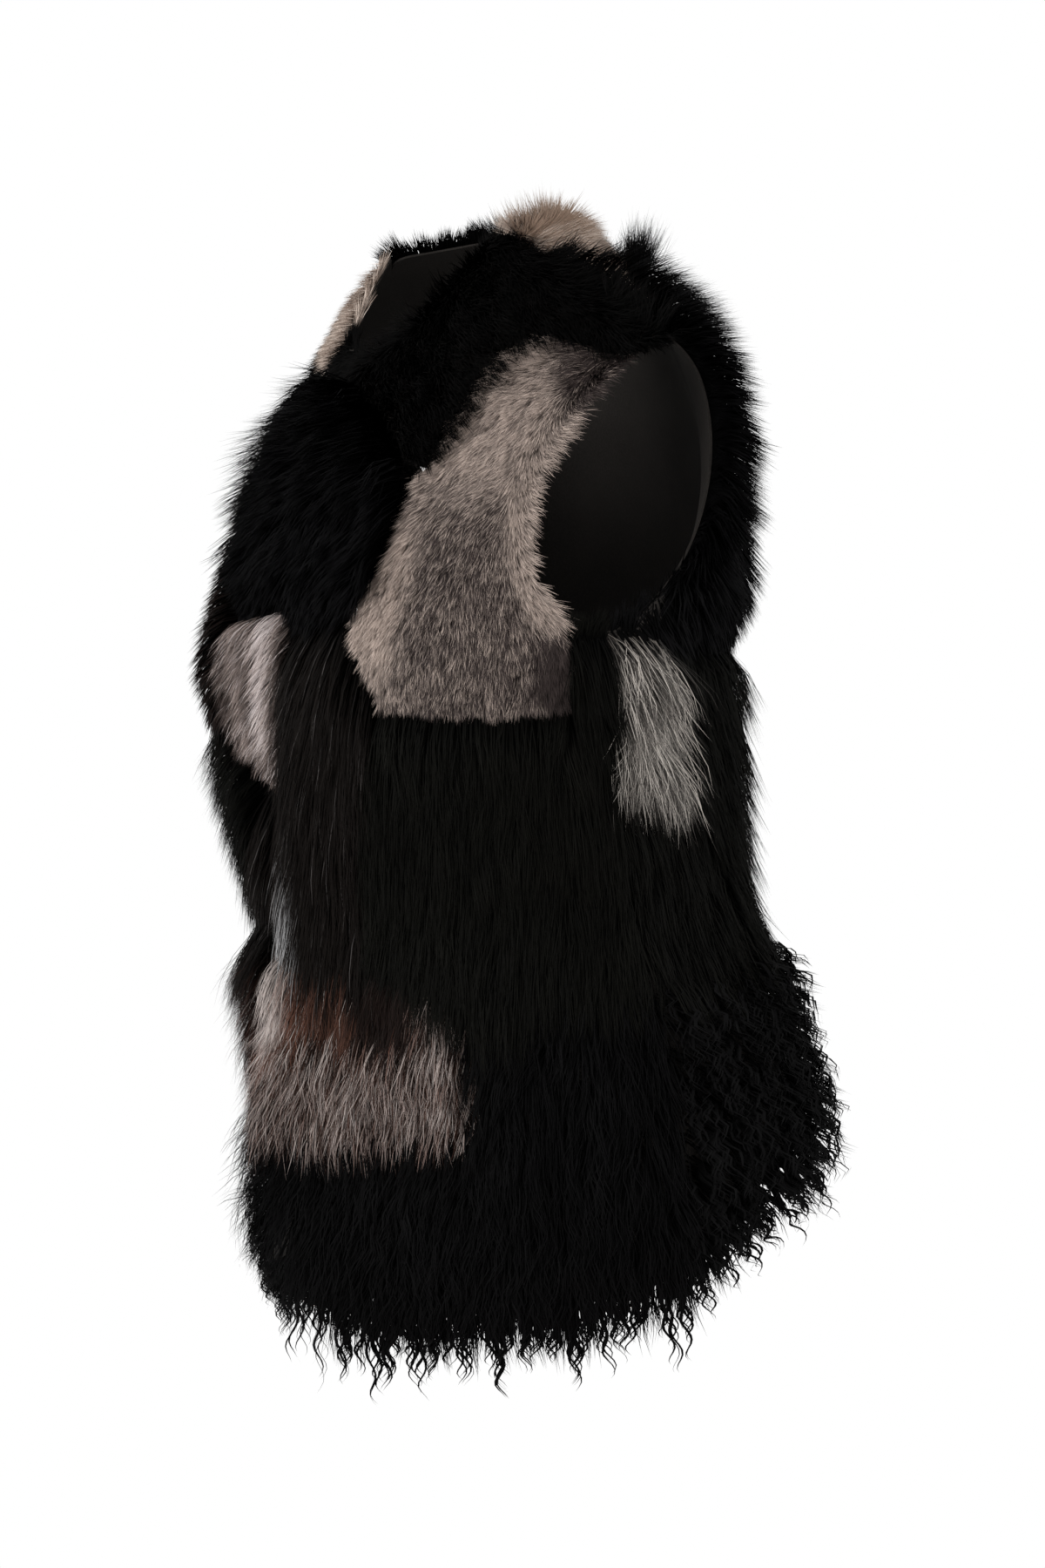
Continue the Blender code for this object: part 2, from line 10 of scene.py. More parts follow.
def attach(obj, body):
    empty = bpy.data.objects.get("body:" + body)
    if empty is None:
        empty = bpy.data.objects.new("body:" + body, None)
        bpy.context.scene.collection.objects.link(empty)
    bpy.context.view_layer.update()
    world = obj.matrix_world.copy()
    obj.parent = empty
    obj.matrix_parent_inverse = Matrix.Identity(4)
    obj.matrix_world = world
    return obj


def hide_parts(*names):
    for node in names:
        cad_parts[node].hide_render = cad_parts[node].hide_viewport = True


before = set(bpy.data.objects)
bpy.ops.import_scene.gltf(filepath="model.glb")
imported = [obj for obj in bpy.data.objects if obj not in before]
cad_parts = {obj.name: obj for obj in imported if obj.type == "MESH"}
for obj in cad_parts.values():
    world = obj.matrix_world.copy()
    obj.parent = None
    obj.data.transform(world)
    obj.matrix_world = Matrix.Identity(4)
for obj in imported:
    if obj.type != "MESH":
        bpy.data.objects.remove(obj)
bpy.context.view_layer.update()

# A patchwork fur gilet: each piece is a thin hide, planted with a pile of narrow blades of hair.
# Metres and radians, in the frame of the solids: +Z up, -Y out of the front, +X to the left front's side.

# Camera and room
VIEW_AZIMUTH = math.radians(63.0)
VIEW_DISTANCE = 2.6
VIEW_HEIGHT = -0.3205
VIEW_SIDESTEP = 0.0359
IMAGE_HEIGHT_PX = 1800
PX_PER_METRE = 1950
SENSOR_HEIGHT_MM = 36.0
ROOM_LIGHT = 0.60
FLOOR_HEIGHT = -1.45
FLOOR_RADIUS = 3.2
FLOOR_SIDES = 96
FLOOR_TONES = ((0.86, 0.86, 0.85, 1.0), (0.90, 0.90, 0.89, 1.0))

# Hides
HIDE_THICKNESS = 0.0014
HIDE_LEVELS = 1
PLANTING_LEVELS = 2
HOLLOW_AXIS_Y = 0.020
HOLLOW_TOP = -0.160
SEAM_ANGLE = 0.6
YOKE_SEAM_ANGLE = 0.9
JOIN_FACE_ANGLE = math.radians(60)
JOIN_SHAPE_ANGLE = math.radians(70)
SHARP_ANGLE = math.radians(50)
MERGE_DISTANCE = 0.00001
SEAM_COVER = 0.0006
SUEDE_DARK = (0.008, 0.007, 0.006, 1.0)
SUEDE_PALE = (0.022, 0.019, 0.017, 1.0)
SUEDE_FLECK = (0.036, 0.031, 0.028, 1.0)
FLECK_SHARE = 0.4

# Edges: those that nothing is sewn to, and the seams that hair is combed over
FREE_BEYOND = 0.006
EDGE_WIDTH = 0.016
EDGE_TURN = 0.7
EDGE_DROP = 0.65
EDGE_NEAR = 0.007
EDGE_LEAN = 0.85
EDGE_RAGGED = 0.45
EDGE_MOTTLE = 0.010
EDGE_PER_CM2 = 320
COMB_WIDTH = 0.022
COMB_TURN = 0.85
HEM_SLOPE = 0.35

# Tufts on the yoke behind the beige neck patch, and the stretch of the seam that they stand on
TUFT_PER_CM2 = 190
TUFT_FROM = 0.002
TUFT_TO = 0.112
TUFT_BACK = 0.054

# Seeds: a hundred for each piece, with its other rows of fur between
PIECE_SEEDS = 100
HEM_SEED_STEP = 25
TUFT_SEED = 50
EDGE_SEED = 75

Piece = namedtuple("Piece", "node fur per_cm2 flat_width flat_length flat_area sewn_to flow")
Fur = namedtuple("Fur", "blade lie clump curl tone")
Blade = namedtuple("Blade", "segments taper length spread width")
Lie = namedtuple("Lie", "root_lift tip_lift stray swirl")
Clump = namedtuple("Clump", "size pull swing")
Curl = namedtuple("Curl", "radius turns")
Tone = namedtuple("Tone", "spread pale_share")
Hair = namedtuple("Hair", "dark_root dark_tip pale_root pale_tip root_depth roughness gloss")
Kit = namedtuple("Kit", "tree blades finishes suede")

# How the hair lies on a piece: away from the centre line, out of the front, down
DOWN = (0.0, 0.0, 1.0)
CHEST_FLOW = (0.15, 0.30, 1.0)
SHOULDER_FLOW = (0.90, 0.10, 0.50)
ARM_FLOW = (-0.45, 0.35, 1.0)
STRIPE_FLOW = (0.05, 0.0, 1.0)
YOKE_FLOW = (0.10, -0.35, 1.0)

PIECE_ROWS = [
    ("left_front_shoulder", "black_short", 100, 0.123, 0.191, 0.0131, "back_yoke", SHOULDER_FLOW),
    ("left_front_chest", "black_long", 60, 0.101, 0.145, 0.0108, "left_front_shoulder", CHEST_FLOW),
    ("left_front_armhole_patch", "grey", 400, 0.156, 0.212, 0.0173, "left_front_shoulder", ARM_FLOW),
    ("left_front_centre_strip", "black_strip", 42, 0.103, 0.195, 0.0163, "left_front_chest", DOWN),
    ("left_front_side", "black_body", 60, 0.163, 0.196, 0.0225, "left_front_armhole_patch", DOWN),
    ("left_front_fox_panel", "fox", 106, 0.142, 0.098, 0.0119, "left_front_centre_strip", DOWN),
    ("left_front_lamb", "lamb", 20, 0.258, 0.185, 0.0314, "left_front_fox_panel", DOWN),
    ("right_front_shoulder", "black_short", 55, 0.125, 0.189, 0.0115, "back_yoke", SHOULDER_FLOW),
    ("right_front_neck_patch", "beige", 240, 0.040, 0.080, 0.0016, "right_front_shoulder", CHEST_FLOW),
    ("right_front_chest", "black_long", 45, 0.101, 0.145, 0.0108, "right_front_shoulder", CHEST_FLOW),
    ("right_front_armhole_patch", "brown_black", 40, 0.174, 0.212, 0.0184, "right_front_shoulder", ARM_FLOW),
    ("right_front_centre_patch", "pale_stripe", 112, 0.079, 0.100, 0.0056, "right_front_chest", STRIPE_FLOW),
    ("right_front_centre_strip", "black_strip", 40, 0.078, 0.094, 0.0046, "right_front_centre_patch", DOWN),
    ("right_front_side", "black_body", 40, 0.220, 0.197, 0.0274, "right_front_armhole_patch", DOWN),
    ("right_front_fox_panel", "fox", 36, 0.143, 0.098, 0.0119, "right_front_centre_strip", DOWN),
    ("right_front_lamb", "lamb", 12, 0.258, 0.185, 0.0314, "right_front_fox_panel", DOWN),
    ("back_neck_patch", "beige", 240, 0.148, 0.097, 0.0074, "left_front_shoulder", YOKE_FLOW),
    ("back_yoke", "black_yoke", 32, 0.485, 0.295, 0.0891, "left_front_shoulder", YOKE_FLOW),
    ("back_left_fox_patch", "silver_fox", 75, 0.045, 0.073, 0.0027, "back_yoke", DOWN),
    ("back_right_fox_patch", "silver_fox", 50, 0.045, 0.073, 0.0027, "back_yoke", DOWN),
    ("back_body", "black_body", 20, 0.462, 0.191, 0.0778, "back_yoke", DOWN),
    ("back_lamb", "back_curls", 8, 0.557, 0.147, 0.0572, "back_body", DOWN),
]
PIECES = [Piece(*row) for row in PIECE_ROWS]
YOKE = "back_yoke"
NECK_PATCH = "back_neck_patch"
FRONT_SHOULDERS = ("left_front_shoulder", "right_front_shoulder")
HEM_LOCKS = {
    "left_front_lamb": "left_front_hem_locks",
    "right_front_lamb": "right_front_hem_locks",
    "back_lamb": "back_hem_locks",
}

# The rows of a hem, with their fur and how many hairs there are on a square centimetre
HEM_FURS = {"fringe": ("hem_fringe", 150), "ringlets": ("hem_ringlets", 24)}

# A fur has the slot of its own name, but for these
SHARED_SLOTS = {"black_yoke": "black_long", "back_curls": "lamb"}

# Furs, with how a blade runs out: a fine one narrows from its root, a blunt one near its tip
FINE = 1.6
PLUSH = 3.0
BLUNT = 5.0
STRAIGHT = Curl(0.0, 0.0)
FURS = {
    "black_short": Fur(
        Blade(2, FINE, 0.026, 0.35, 0.0008), Lie(0.60, 0.16, 0.24, 0.30), Clump(0.010, 0.35, 0.20),
        STRAIGHT, Tone(0.8, 0.0),
    ),
    "black_long": Fur(
        Blade(3, PLUSH, 0.040, 0.25, 0.0011), Lie(0.65, 0.22, 0.14, 0.25), Clump(0.012, 0.55, 0.26),
        STRAIGHT, Tone(0.8, 0.0),
    ),
    "black_yoke": Fur(
        Blade(2, PLUSH, 0.036, 0.18, 0.0012), Lie(0.55, 0.20, 0.10, 0.20), Clump(0.010, 0.50, 0.12),
        STRAIGHT, Tone(0.8, 0.005),
    ),
    "black_strip": Fur(
        Blade(4, FINE, 0.056, 0.30, 0.0007), Lie(0.36, 0.04, 0.10, 0.25), Clump(0.008, 0.40, 0.12),
        STRAIGHT, Tone(0.06, 0.025),
    ),
    "black_body": Fur(
        Blade(2, FINE, 0.042, 0.30, 0.0009), Lie(0.50, 0.10, 0.10, 0.15), Clump(0.012, 0.40, 0.14),
        STRAIGHT, Tone(0.7, 0.006),
    ),
    "brown_black": Fur(
        Blade(3, PLUSH, 0.036, 0.16, 0.0013), Lie(0.75, 0.28, 0.10, 0.20), Clump(0.010, 0.35, 0.12),
        STRAIGHT, Tone(0.8, 0.0),
    ),
    "grey": Fur(
        Blade(1, FINE, 0.014, 0.35, 0.0007), Lie(0.50, 0.16, 0.24, 0.35), Clump(0.006, 0.30, 0.25),
        STRAIGHT, Tone(0.7, 0.27),
    ),
    "pale_stripe": Fur(
        Blade(3, FINE, 0.026, 0.30, 0.0006), Lie(0.62, 0.24, 0.16, 0.15), Clump(0.007, 0.35, 0.18),
        STRAIGHT, Tone(0.5, 0.10),
    ),
    "beige": Fur(
        Blade(1, FINE, 0.019, 0.30, 0.0008), Lie(0.60, 0.34, 0.22, 0.35), Clump(0.006, 0.30, 0.20),
        STRAIGHT, Tone(0.5, 0.15),
    ),
    "fox": Fur(
        Blade(4, FINE, 0.046, 0.35, 0.0006), Lie(0.54, 0.03, 0.16, 0.25), Clump(0.007, 0.60, 0.34),
        Curl(0.0025, 0.9), Tone(0.5, 0.42),
    ),
    "silver_fox": Fur(
        Blade(4, FINE, 0.048, 0.40, 0.0006), Lie(0.52, 0.06, 0.22, 0.40), Clump(0.008, 0.70, 0.38),
        Curl(0.0025, 0.9), Tone(0.7, 0.36),
    ),
    "lamb": Fur(
        Blade(5, FINE, 0.040, 0.30, 0.0011), Lie(0.52, 0.0, 0.15, 0.20), Clump(0.008, 0.60, 0.30),
        Curl(0.0030, 1.5), Tone(0.8, 0.0),
    ),
    "back_curls": Fur(
        Blade(8, BLUNT, 0.042, 0.25, 0.0019), Lie(0.62, 0.05, 0.10, 0.20), Clump(0.009, 0.75, 0.28),
        Curl(0.0040, 2.4), Tone(0.8, 0.0),
    ),
    "edge_fuzz": Fur(
        Blade(1, FINE, 0.015, 0.35, 0.0008), Lie(0.50, 0.20, 0.28, 0.30), Clump(0.006, 0.35, 0.25),
        STRAIGHT, Tone(0.7, 0.0),
    ),
    "tuft": Fur(
        Blade(3, FINE, 0.033, 0.45, 0.0010), Lie(0.66, 0.38, 0.32, 0.30), Clump(0.009, 0.50, 0.25),
        STRAIGHT, Tone(0.6, 0.0),
    ),
    "hem_fringe": Fur(
        Blade(4, FINE, 0.036, 0.50, 0.0013), Lie(0.20, 0.0, 0.16, 0.10), Clump(0.006, 0.60, 0.20),
        Curl(0.0020, 1.0), Tone(0.8, 0.0),
    ),
    "hem_ringlets": Fur(
        Blade(24, BLUNT, 0.046, 0.40, 0.0020), Lie(0.15, 0.0, 0.05, 0.10), Clump(0.009, 0.95, 0.25),
        Curl(0.0034, 3.0), Tone(0.8, 0.0),
    ),
}

# Colours of dark and of pale hairs, at the root and at the tip, then the root's depth and the finish
# The darker roots are partly the furs' own colour and partly painted shade, deep in the pile
HAIRS = {
    "black_short": Hair(
        (0.0006, 0.0006, 0.0006), (0.0016, 0.0015, 0.0015),
        (0.0010, 0.0010, 0.0010), (0.0045, 0.0042, 0.0040),
        0.8, 0.60, 0.02,
    ),
    "black_long": Hair(
        (0.0006, 0.0006, 0.0006), (0.0016, 0.0015, 0.0017),
        (0.0010, 0.0010, 0.0010), (0.0048, 0.0046, 0.0050),
        0.8, 0.50, 0.025,
    ),
    # The strip's pale colours are mostly its painted sheen; its few pale streaks take the middle ones
    "black_strip": Hair(
        (0.0010, 0.0007, 0.0006), (0.0048, 0.0034, 0.0027),
        (0.0100, 0.0100, 0.0100), (0.3800, 0.3770, 0.3820),
        0.9, 0.45, 0.035,
    ),
    "black_body": Hair(
        (0.0007, 0.0007, 0.0006), (0.0022, 0.0021, 0.0017),
        (0.0012, 0.0012, 0.0010), (0.0070, 0.0068, 0.0054),
        0.8, 0.50, 0.03,
    ),
    "brown_black": Hair(
        (0.0016, 0.0011, 0.0010), (0.0048, 0.0032, 0.0028),
        (0.0024, 0.0017, 0.0015), (0.0180, 0.0115, 0.0098),
        0.8, 0.50, 0.04,
    ),
    "grey": Hair(
        (0.008, 0.006, 0.0055), (0.040, 0.028, 0.027),
        (0.115, 0.088, 0.075), (0.630, 0.510, 0.440),
        1.0, 0.60, 0.15,
    ),
    "pale_stripe": Hair(
        (0.010, 0.006, 0.005), (0.046, 0.032, 0.028),
        (0.200, 0.168, 0.163), (0.660, 0.590, 0.580),
        0.9, 0.55, 0.15,
    ),
    "beige": Hair(
        (0.100, 0.072, 0.057), (0.260, 0.195, 0.158),
        (0.420, 0.340, 0.290), (0.840, 0.720, 0.630),
        0.6, 0.60, 0.15,
    ),
    "fox": Hair(
        (0.002, 0.0014, 0.0012), (0.008, 0.0050, 0.0043),
        (0.055, 0.042, 0.037), (0.640, 0.565, 0.530),
        1.15, 0.50, 0.06,
    ),
    "silver_fox": Hair(
        (0.012, 0.011, 0.010), (0.050, 0.043, 0.038),
        (0.120, 0.106, 0.092), (0.690, 0.630, 0.570),
        0.9, 0.50, 0.15,
    ),
    "lamb": Hair(
        (0.0006, 0.0006, 0.0006), (0.0016, 0.0015, 0.0016),
        (0.0010, 0.0010, 0.0010), (0.0048, 0.0046, 0.0048),
        0.8, 0.50, 0.025,
    ),
}

# Colours between dark and pale, at the root and at the tip, where they aren't halfway
MIDDLES = {
    "fox": ((0.020, 0.009, 0.006), (0.165, 0.074, 0.050)),
    "black_strip": ((0.004, 0.0035, 0.0035), (0.075, 0.068, 0.066)),
    "pale_stripe": ((0.065, 0.048, 0.041), (0.380, 0.305, 0.275)),
}


# Node helpers


def wire(tree, kind, inputs=(), out=None, **settings):
    """Adds a node with its settings and its inputs, by place or by name, and gives one of its outputs."""
    node = tree.nodes.new(kind)
    for setting, value in settings.items():
        setattr(node, setting, value)
    sockets = [socket for socket in node.inputs if socket.enabled]
    pairs = inputs.items() if isinstance(inputs, dict) else enumerate(inputs)
    for key, value in pairs:
        if isinstance(key, int):
            socket = sockets[key]
        else:
            socket = next(s for s in sockets if s.name == key)
        if isinstance(value, bpy.types.NodeSocket):
            tree.links.new(value, socket)
        else:
            socket.default_value = value
    outputs = [socket for socket in node.outputs if socket.enabled]
    if out is None:
        return outputs[0] if outputs else None
    return next(s for s in outputs if s.name == out)


def maths(tree, operation, *values):
    return wire(tree, "ShaderNodeMath", values, operation=operation)


def vectors(tree, operation, *values):
    return wire(tree, "ShaderNodeVectorMath", values, operation=operation)


def scaled(tree, vector, factor):
    return vectors(tree, "SCALE", vector, factor)


def total(tree, *terms):
    """The sum of several vectors."""
    result = terms[0]
    for term in terms[1:]:
        result = vectors(tree, "ADD", result, term)
    return result


def blended(tree, factor, first, second):
    """One colour turning into another."""
    return wire(tree, "ShaderNodeMix", {"Factor": factor, "A": first, "B": second}, data_type="RGBA")


def attribute(tree, name, data_type="FLOAT"):
    return wire(tree, "GeometryNodeInputNamedAttribute", {"Name": name}, data_type=data_type)


def stored(tree, geometry, name, value, data_type, domain="POINT"):
    inputs = {"Geometry": geometry, "Name": name, "Value": value}
    return wire(tree, "GeometryNodeStoreNamedAttribute", inputs, data_type=data_type, domain=domain)


# The pile, planted on a hide

PILE_INPUTS = {
    "Blade": "NodeSocketObject",
    "Per Square Metre": "NodeSocketFloat",
    "Seed": "NodeSocketInt",
    "Length": "NodeSocketFloat",
    "Length Spread": "NodeSocketFloat",
    "Width": "NodeSocketFloat",
    "Root Lift": "NodeSocketFloat",
    "Tip Lift": "NodeSocketFloat",
    "Stray": "NodeSocketFloat",
    "Clump Size": "NodeSocketFloat",
    "Clump Pull": "NodeSocketFloat",
    "Clump Swing": "NodeSocketFloat",
    "Curl Radius": "NodeSocketFloat",
    "Curl Turns": "NodeSocketFloat",
    "Shade Spread": "NodeSocketFloat",
    "Finish": "NodeSocketMaterial",
}
CM2_PER_M2 = 1e4
ROLL = 0.9
CURL_OWN_PHASE = 0.06
CURL_POWER = 1.4
CLUMP_SHARE = 0.5
CLUMP_POWER = 1.2
PALE_STEP = 0.75
SHADE_STEP = 0.25
SOFT_SHARE = 0.65
SHADE_WIDTH = 0.004
SHADE_MARGIN = 0.02
ROOT_DULLNESS = 0.25
HAIR_MAP = "hair_map"
BAKE_MAP = "OFBake"


def pile_tree():
    """Points on a hide with a blade on each, bent along the nap, drawn into its clump and curled."""
    tree = bpy.data.node_groups.new("pile_on_hide", "GeometryNodeTree")
    tree.interface.new_socket("Hide", in_out="INPUT", socket_type="NodeSocketGeometry")
    for name, kind in PILE_INPUTS.items():
        tree.interface.new_socket(name, in_out="INPUT", socket_type=kind)
    tree.interface.new_socket("Pile", in_out="OUTPUT", socket_type="NodeSocketGeometry")
    given = tree.nodes.new("NodeGroupInput").outputs
    planting = {"Mesh": given["Hide"], "Density": given["Per Square Metre"], "Seed": given["Seed"]}
    points = wire(tree, "GeometryNodeDistributePointsOnFaces", planting)
    hairs = hair_fields(tree, given, points.node.outputs["Normal"])
    for name, (data_type, value) in hairs.items():
        points = stored(tree, points, name, value, data_type)
    blade = wire(tree, "GeometryNodeObjectInfo", {"Object": given["Blade"]}, out="Geometry")
    blades = wire(tree, "GeometryNodeInstanceOnPoints", {"Points": points, "Instance": blade})
    pile = wire(tree, "GeometryNodeRealizeInstances", {"Geometry": blades})
    place = hair_place(tree, given)
    pile = wire(tree, "GeometryNodeSetPosition", {"Geometry": pile, "Position": place})
    pile = wire(tree, "GeometryNodeSetShadeSmooth", {"Geometry": pile})
    pile = wire(tree, "GeometryNodeSetMeshNormal", (pile, soft_normal(tree)), mode="FREE", domain="POINT")
    pile = mapped_hair(tree, pile)
    pile = wire(tree, "GeometryNodeSetMaterial", {"Geometry": pile, "Material": given["Finish"]})
    wire(tree, "NodeGroupOutput", {"Pile": pile})
    return tree


def hair_fields(tree, given, normal):
    """What each hair keeps from its root: its start and end, its side, its clump, its curl and its shade."""
    root = wire(tree, "GeometryNodeInputPosition")
    nap = attribute(tree, "hide_nap", "FLOAT_VECTOR")
    stand = attribute(tree, "hide_stand")

    def chance(own_seed, data_type="FLOAT", low=-1.0, high=1.0):
        seed = maths(tree, "ADD", given["Seed"], float(own_seed))
        limits = {"Min": low, "Max": high, "Seed": seed}
        return wire(tree, "FunctionNodeRandomValue", limits, data_type=data_type)

    def chance_vector(own_seed):
        return chance(own_seed, "FLOAT_VECTOR", (-1, -1, -1), (1, 1, 1))

    def leaning(lift, *pushes):
        raised = maths(tree, "MINIMUM", maths(tree, "ADD", lift, stand), 1.0)
        along_nap = scaled(tree, nap, maths(tree, "SUBTRACT", 1.0, raised))
        return vectors(tree, "NORMALIZE", total(tree, along_nap, scaled(tree, normal, raised), *pushes))

    # A clump is one cell: its middle draws the tips in, and its colour sets its swing, length and shade
    cell_scale = maths(tree, "DIVIDE", 1.0, given["Clump Size"])
    cell = wire(tree, "ShaderNodeTexVoronoi", {"Vector": root, "Scale": cell_scale}, out="Position")
    middle = vectors(tree, "SUBTRACT", cell, root)
    off_hide = scaled(tree, normal, vectors(tree, "DOT_PRODUCT", middle, normal))
    middle = vectors(tree, "SUBTRACT", middle, off_hide)
    clump = vectors(tree, "MULTIPLY_ADD", cell.node.outputs["Color"], (2, 2, 2), (-1, -1, -1))
    clump_swing, clump_length, clump_shade = wire(tree, "ShaderNodeSeparateXYZ", (clump,)).node.outputs

    start = leaning(given["Root Lift"], scaled(tree, chance_vector(1), given["Stray"]))
    stray = scaled(tree, chance_vector(2), given["Stray"])
    end = leaning(given["Tip Lift"], stray, scaled(tree, clump, given["Clump Swing"]))

    own_length = maths(tree, "MULTIPLY", chance(3), 1.0 - CLUMP_SHARE)
    longer = maths(tree, "MULTIPLY_ADD", clump_length, CLUMP_SHARE, own_length)
    length = maths(tree, "MULTIPLY_ADD", longer, given["Length Spread"], 1.0)
    length = maths(tree, "MULTIPLY", length, given["Length"])
    length = maths(tree, "MULTIPLY", length, attribute(tree, "hide_reach"))

    roll = chance(4, low=-ROLL, high=ROLL)
    flat_side = vectors(tree, "NORMALIZE", vectors(tree, "CROSS_PRODUCT", nap, normal))
    level = scaled(tree, flat_side, maths(tree, "COSINE", roll))
    tilted = scaled(tree, normal, maths(tree, "SINE", roll))
    side = vectors(tree, "ADD", level, tilted)

    phase = maths(tree, "MULTIPLY_ADD", chance(5), CURL_OWN_PHASE, clump_swing)
    own_shade = maths(tree, "ADD", chance(6), clump_shade)
    spread = maths(tree, "MULTIPLY", given["Shade Spread"], SHADE_STEP)
    own_shade = maths(tree, "MULTIPLY", own_shade, spread)
    pale = maths(tree, "LESS_THAN", chance(7, low=0.0, high=1.0), attribute(tree, "hide_pale"))
    own_shade = maths(tree, "MULTIPLY_ADD", pale, PALE_STEP, own_shade)
    curl = maths(tree, "MULTIPLY", given["Curl Radius"], attribute(tree, "hide_curl"))
    return {
        "grow_root": ("FLOAT_VECTOR", root),
        "grow_start": ("FLOAT_VECTOR", scaled(tree, start, length)),
        "grow_end": ("FLOAT_VECTOR", scaled(tree, end, length)),
        "grow_side": ("FLOAT_VECTOR", scaled(tree, side, given["Width"])),
        "grow_flat_side": ("FLOAT_VECTOR", flat_side),
        "grow_normal": ("FLOAT_VECTOR", normal),
        "grow_pull": ("FLOAT_VECTOR", scaled(tree, middle, given["Clump Pull"])),
        "grow_phase": ("FLOAT", maths(tree, "MULTIPLY", phase, math.pi)),
        "grow_curl": ("FLOAT", curl),
        "grow_shade": ("FLOAT", maths(tree, "ADD", attribute(tree, "hide_shade"), own_shade)),
    }


def hair_place(tree, given):
    """Where each point of a blade goes, from its place along and across the blade."""
    along = attribute(tree, "grow_along")
    # A hair turns evenly from its start to its end, so its end's share is half the square of the way along
    bend = maths(tree, "MULTIPLY", maths(tree, "MULTIPLY", along, along), 0.5)
    turns = maths(tree, "MULTIPLY", given["Curl Turns"], 2 * math.pi)
    turn = maths(tree, "MULTIPLY_ADD", along, turns, attribute(tree, "grow_phase"))
    sideways = attribute(tree, "grow_flat_side", "FLOAT_VECTOR")
    outward = attribute(tree, "grow_normal", "FLOAT_VECTOR")
    curl = total(
        tree,
        scaled(tree, sideways, maths(tree, "SINE", turn)),
        scaled(tree, outward, maths(tree, "COSINE", turn)),
    )
    drawn_in = maths(tree, "POWER", along, CLUMP_POWER)
    wound = maths(tree, "MULTIPLY", maths(tree, "POWER", along, CURL_POWER), attribute(tree, "grow_curl"))
    shares = {
        "grow_start": maths(tree, "SUBTRACT", along, bend),
        "grow_end": bend,
        "grow_pull": drawn_in,
        "grow_side": attribute(tree, "grow_across"),
    }
    parts = [scaled(tree, attribute(tree, name, "FLOAT_VECTOR"), share) for name, share in shares.items()]
    return total(tree, attribute(tree, "grow_root", "FLOAT_VECTOR"), *parts, scaled(tree, curl, wound))


def soft_normal(tree):
    """A hair's normal turned towards its hide's, so that light falls on the pile as on one soft surface."""
    hide_share = scaled(tree, attribute(tree, "grow_normal", "FLOAT_VECTOR"), SOFT_SHARE)
    own_share = scaled(tree, wire(tree, "GeometryNodeInputNormal"), 1.0 - SOFT_SHARE)
    return vectors(tree, "NORMALIZE", vectors(tree, "ADD", hide_share, own_share))


def mapped_hair(tree, pile):
    """Maps every hair by its shade and the way from its root to its tip, which its finish is read from."""
    shade = maths(tree, "MAXIMUM", attribute(tree, "grow_shade"), SHADE_MARGIN)
    shade = maths(tree, "MINIMUM", shade, 1.0 - SHADE_MARGIN)
    shade = maths(tree, "MULTIPLY_ADD", attribute(tree, "grow_across"), SHADE_WIDTH, shade)
    spot = wire(tree, "ShaderNodeCombineXYZ", (shade, attribute(tree, "grow_along")))
    for name in (HAIR_MAP, BAKE_MAP):
        pile = stored(tree, pile, name, spot, "FLOAT2", "CORNER")
    for names in ("grow_*", "hide_*"):
        used_up = {"Geometry": pile, "Name": names}
        pile = wire(tree, "GeometryNodeRemoveAttribute", used_up, pattern_mode="WILDCARD")
    return pile


def blade_strip(segments, taper):
    """A few hairs as one strip that runs out to a point, with its ways along and across kept on it."""
    spots = [(k / segments, side) for k in range(segments) for side in (-0.5, 0.5)]
    spots.append((1.0, 0.0))
    faces = [(2 * k, 2 * k + 1, 2 * k + 3, 2 * k + 2) for k in range(segments - 1)]
    faces.append((2 * segments - 2, 2 * segments - 1, 2 * segments))
    mesh = bpy.data.meshes.new(f"blade_{segments}")
    mesh.from_pydata([(side, 0.0, along) for along, side in spots], [], faces)
    keep_values(mesh, "grow_along", [along for along, side in spots])
    keep_values(mesh, "grow_across", [side * (1.0 - along**taper) for along, side in spots])
    holder = bpy.data.objects.new(mesh.name, mesh)
    bpy.context.scene.collection.objects.link(holder)
    return holder


def keep_values(mesh, name, values):
    """Keeps a number or a direction at each point of a mesh."""
    values = np.asarray(values, dtype=np.float32)
    if values.ndim == 1:
        mesh.attributes.new(name, "FLOAT", "POINT").data.foreach_set("value", values)
    else:
        mesh.attributes.new(name, "FLOAT_VECTOR", "POINT").data.foreach_set("vector", values.ravel())


# Hides


def hide_side(node):
    """The leather side of a piece's solid, as one open layer whose faces look out towards the pile."""
    mesh = bmesh.new()
    mesh.from_mesh(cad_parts[node].data)
    bmesh.ops.remove_doubles(mesh, verts=mesh.verts, dist=MERGE_DISTANCE)
    mesh.normal_update()
    limit = YOKE_SEAM_ANGLE if node == YOKE else SEAM_ANGLE

    def faces_hollow(face):
        middle = face.calc_center_median()
        hollow = Vector((0.0, HOLLOW_AXIS_Y, min(middle.z, HOLLOW_TOP)))
        return (hollow - middle).normalized().dot(face.normal) * face.calc_area()

    first = max(mesh.faces, key=faces_hollow)
    side = {first}
    waiting = [first]
    while waiting:
        face = waiting.pop()
        for edge in face.edges:
            if edge.is_manifold and edge.calc_face_angle() < limit:
                found = [f for f in edge.link_faces if f not in side]
                side.update(found)
                waiting.extend(found)
    bmesh.ops.delete(mesh, geom=[f for f in mesh.faces if f not in side], context="FACES")
    bmesh.ops.reverse_faces(mesh, faces=mesh.faces)
    bmesh.ops.join_triangles(
        mesh, faces=mesh.faces, angle_face_threshold=JOIN_FACE_ANGLE, angle_shape_threshold=JOIN_SHAPE_ANGLE
    )
    return plain_mesh(f"{node}_layer", mesh)


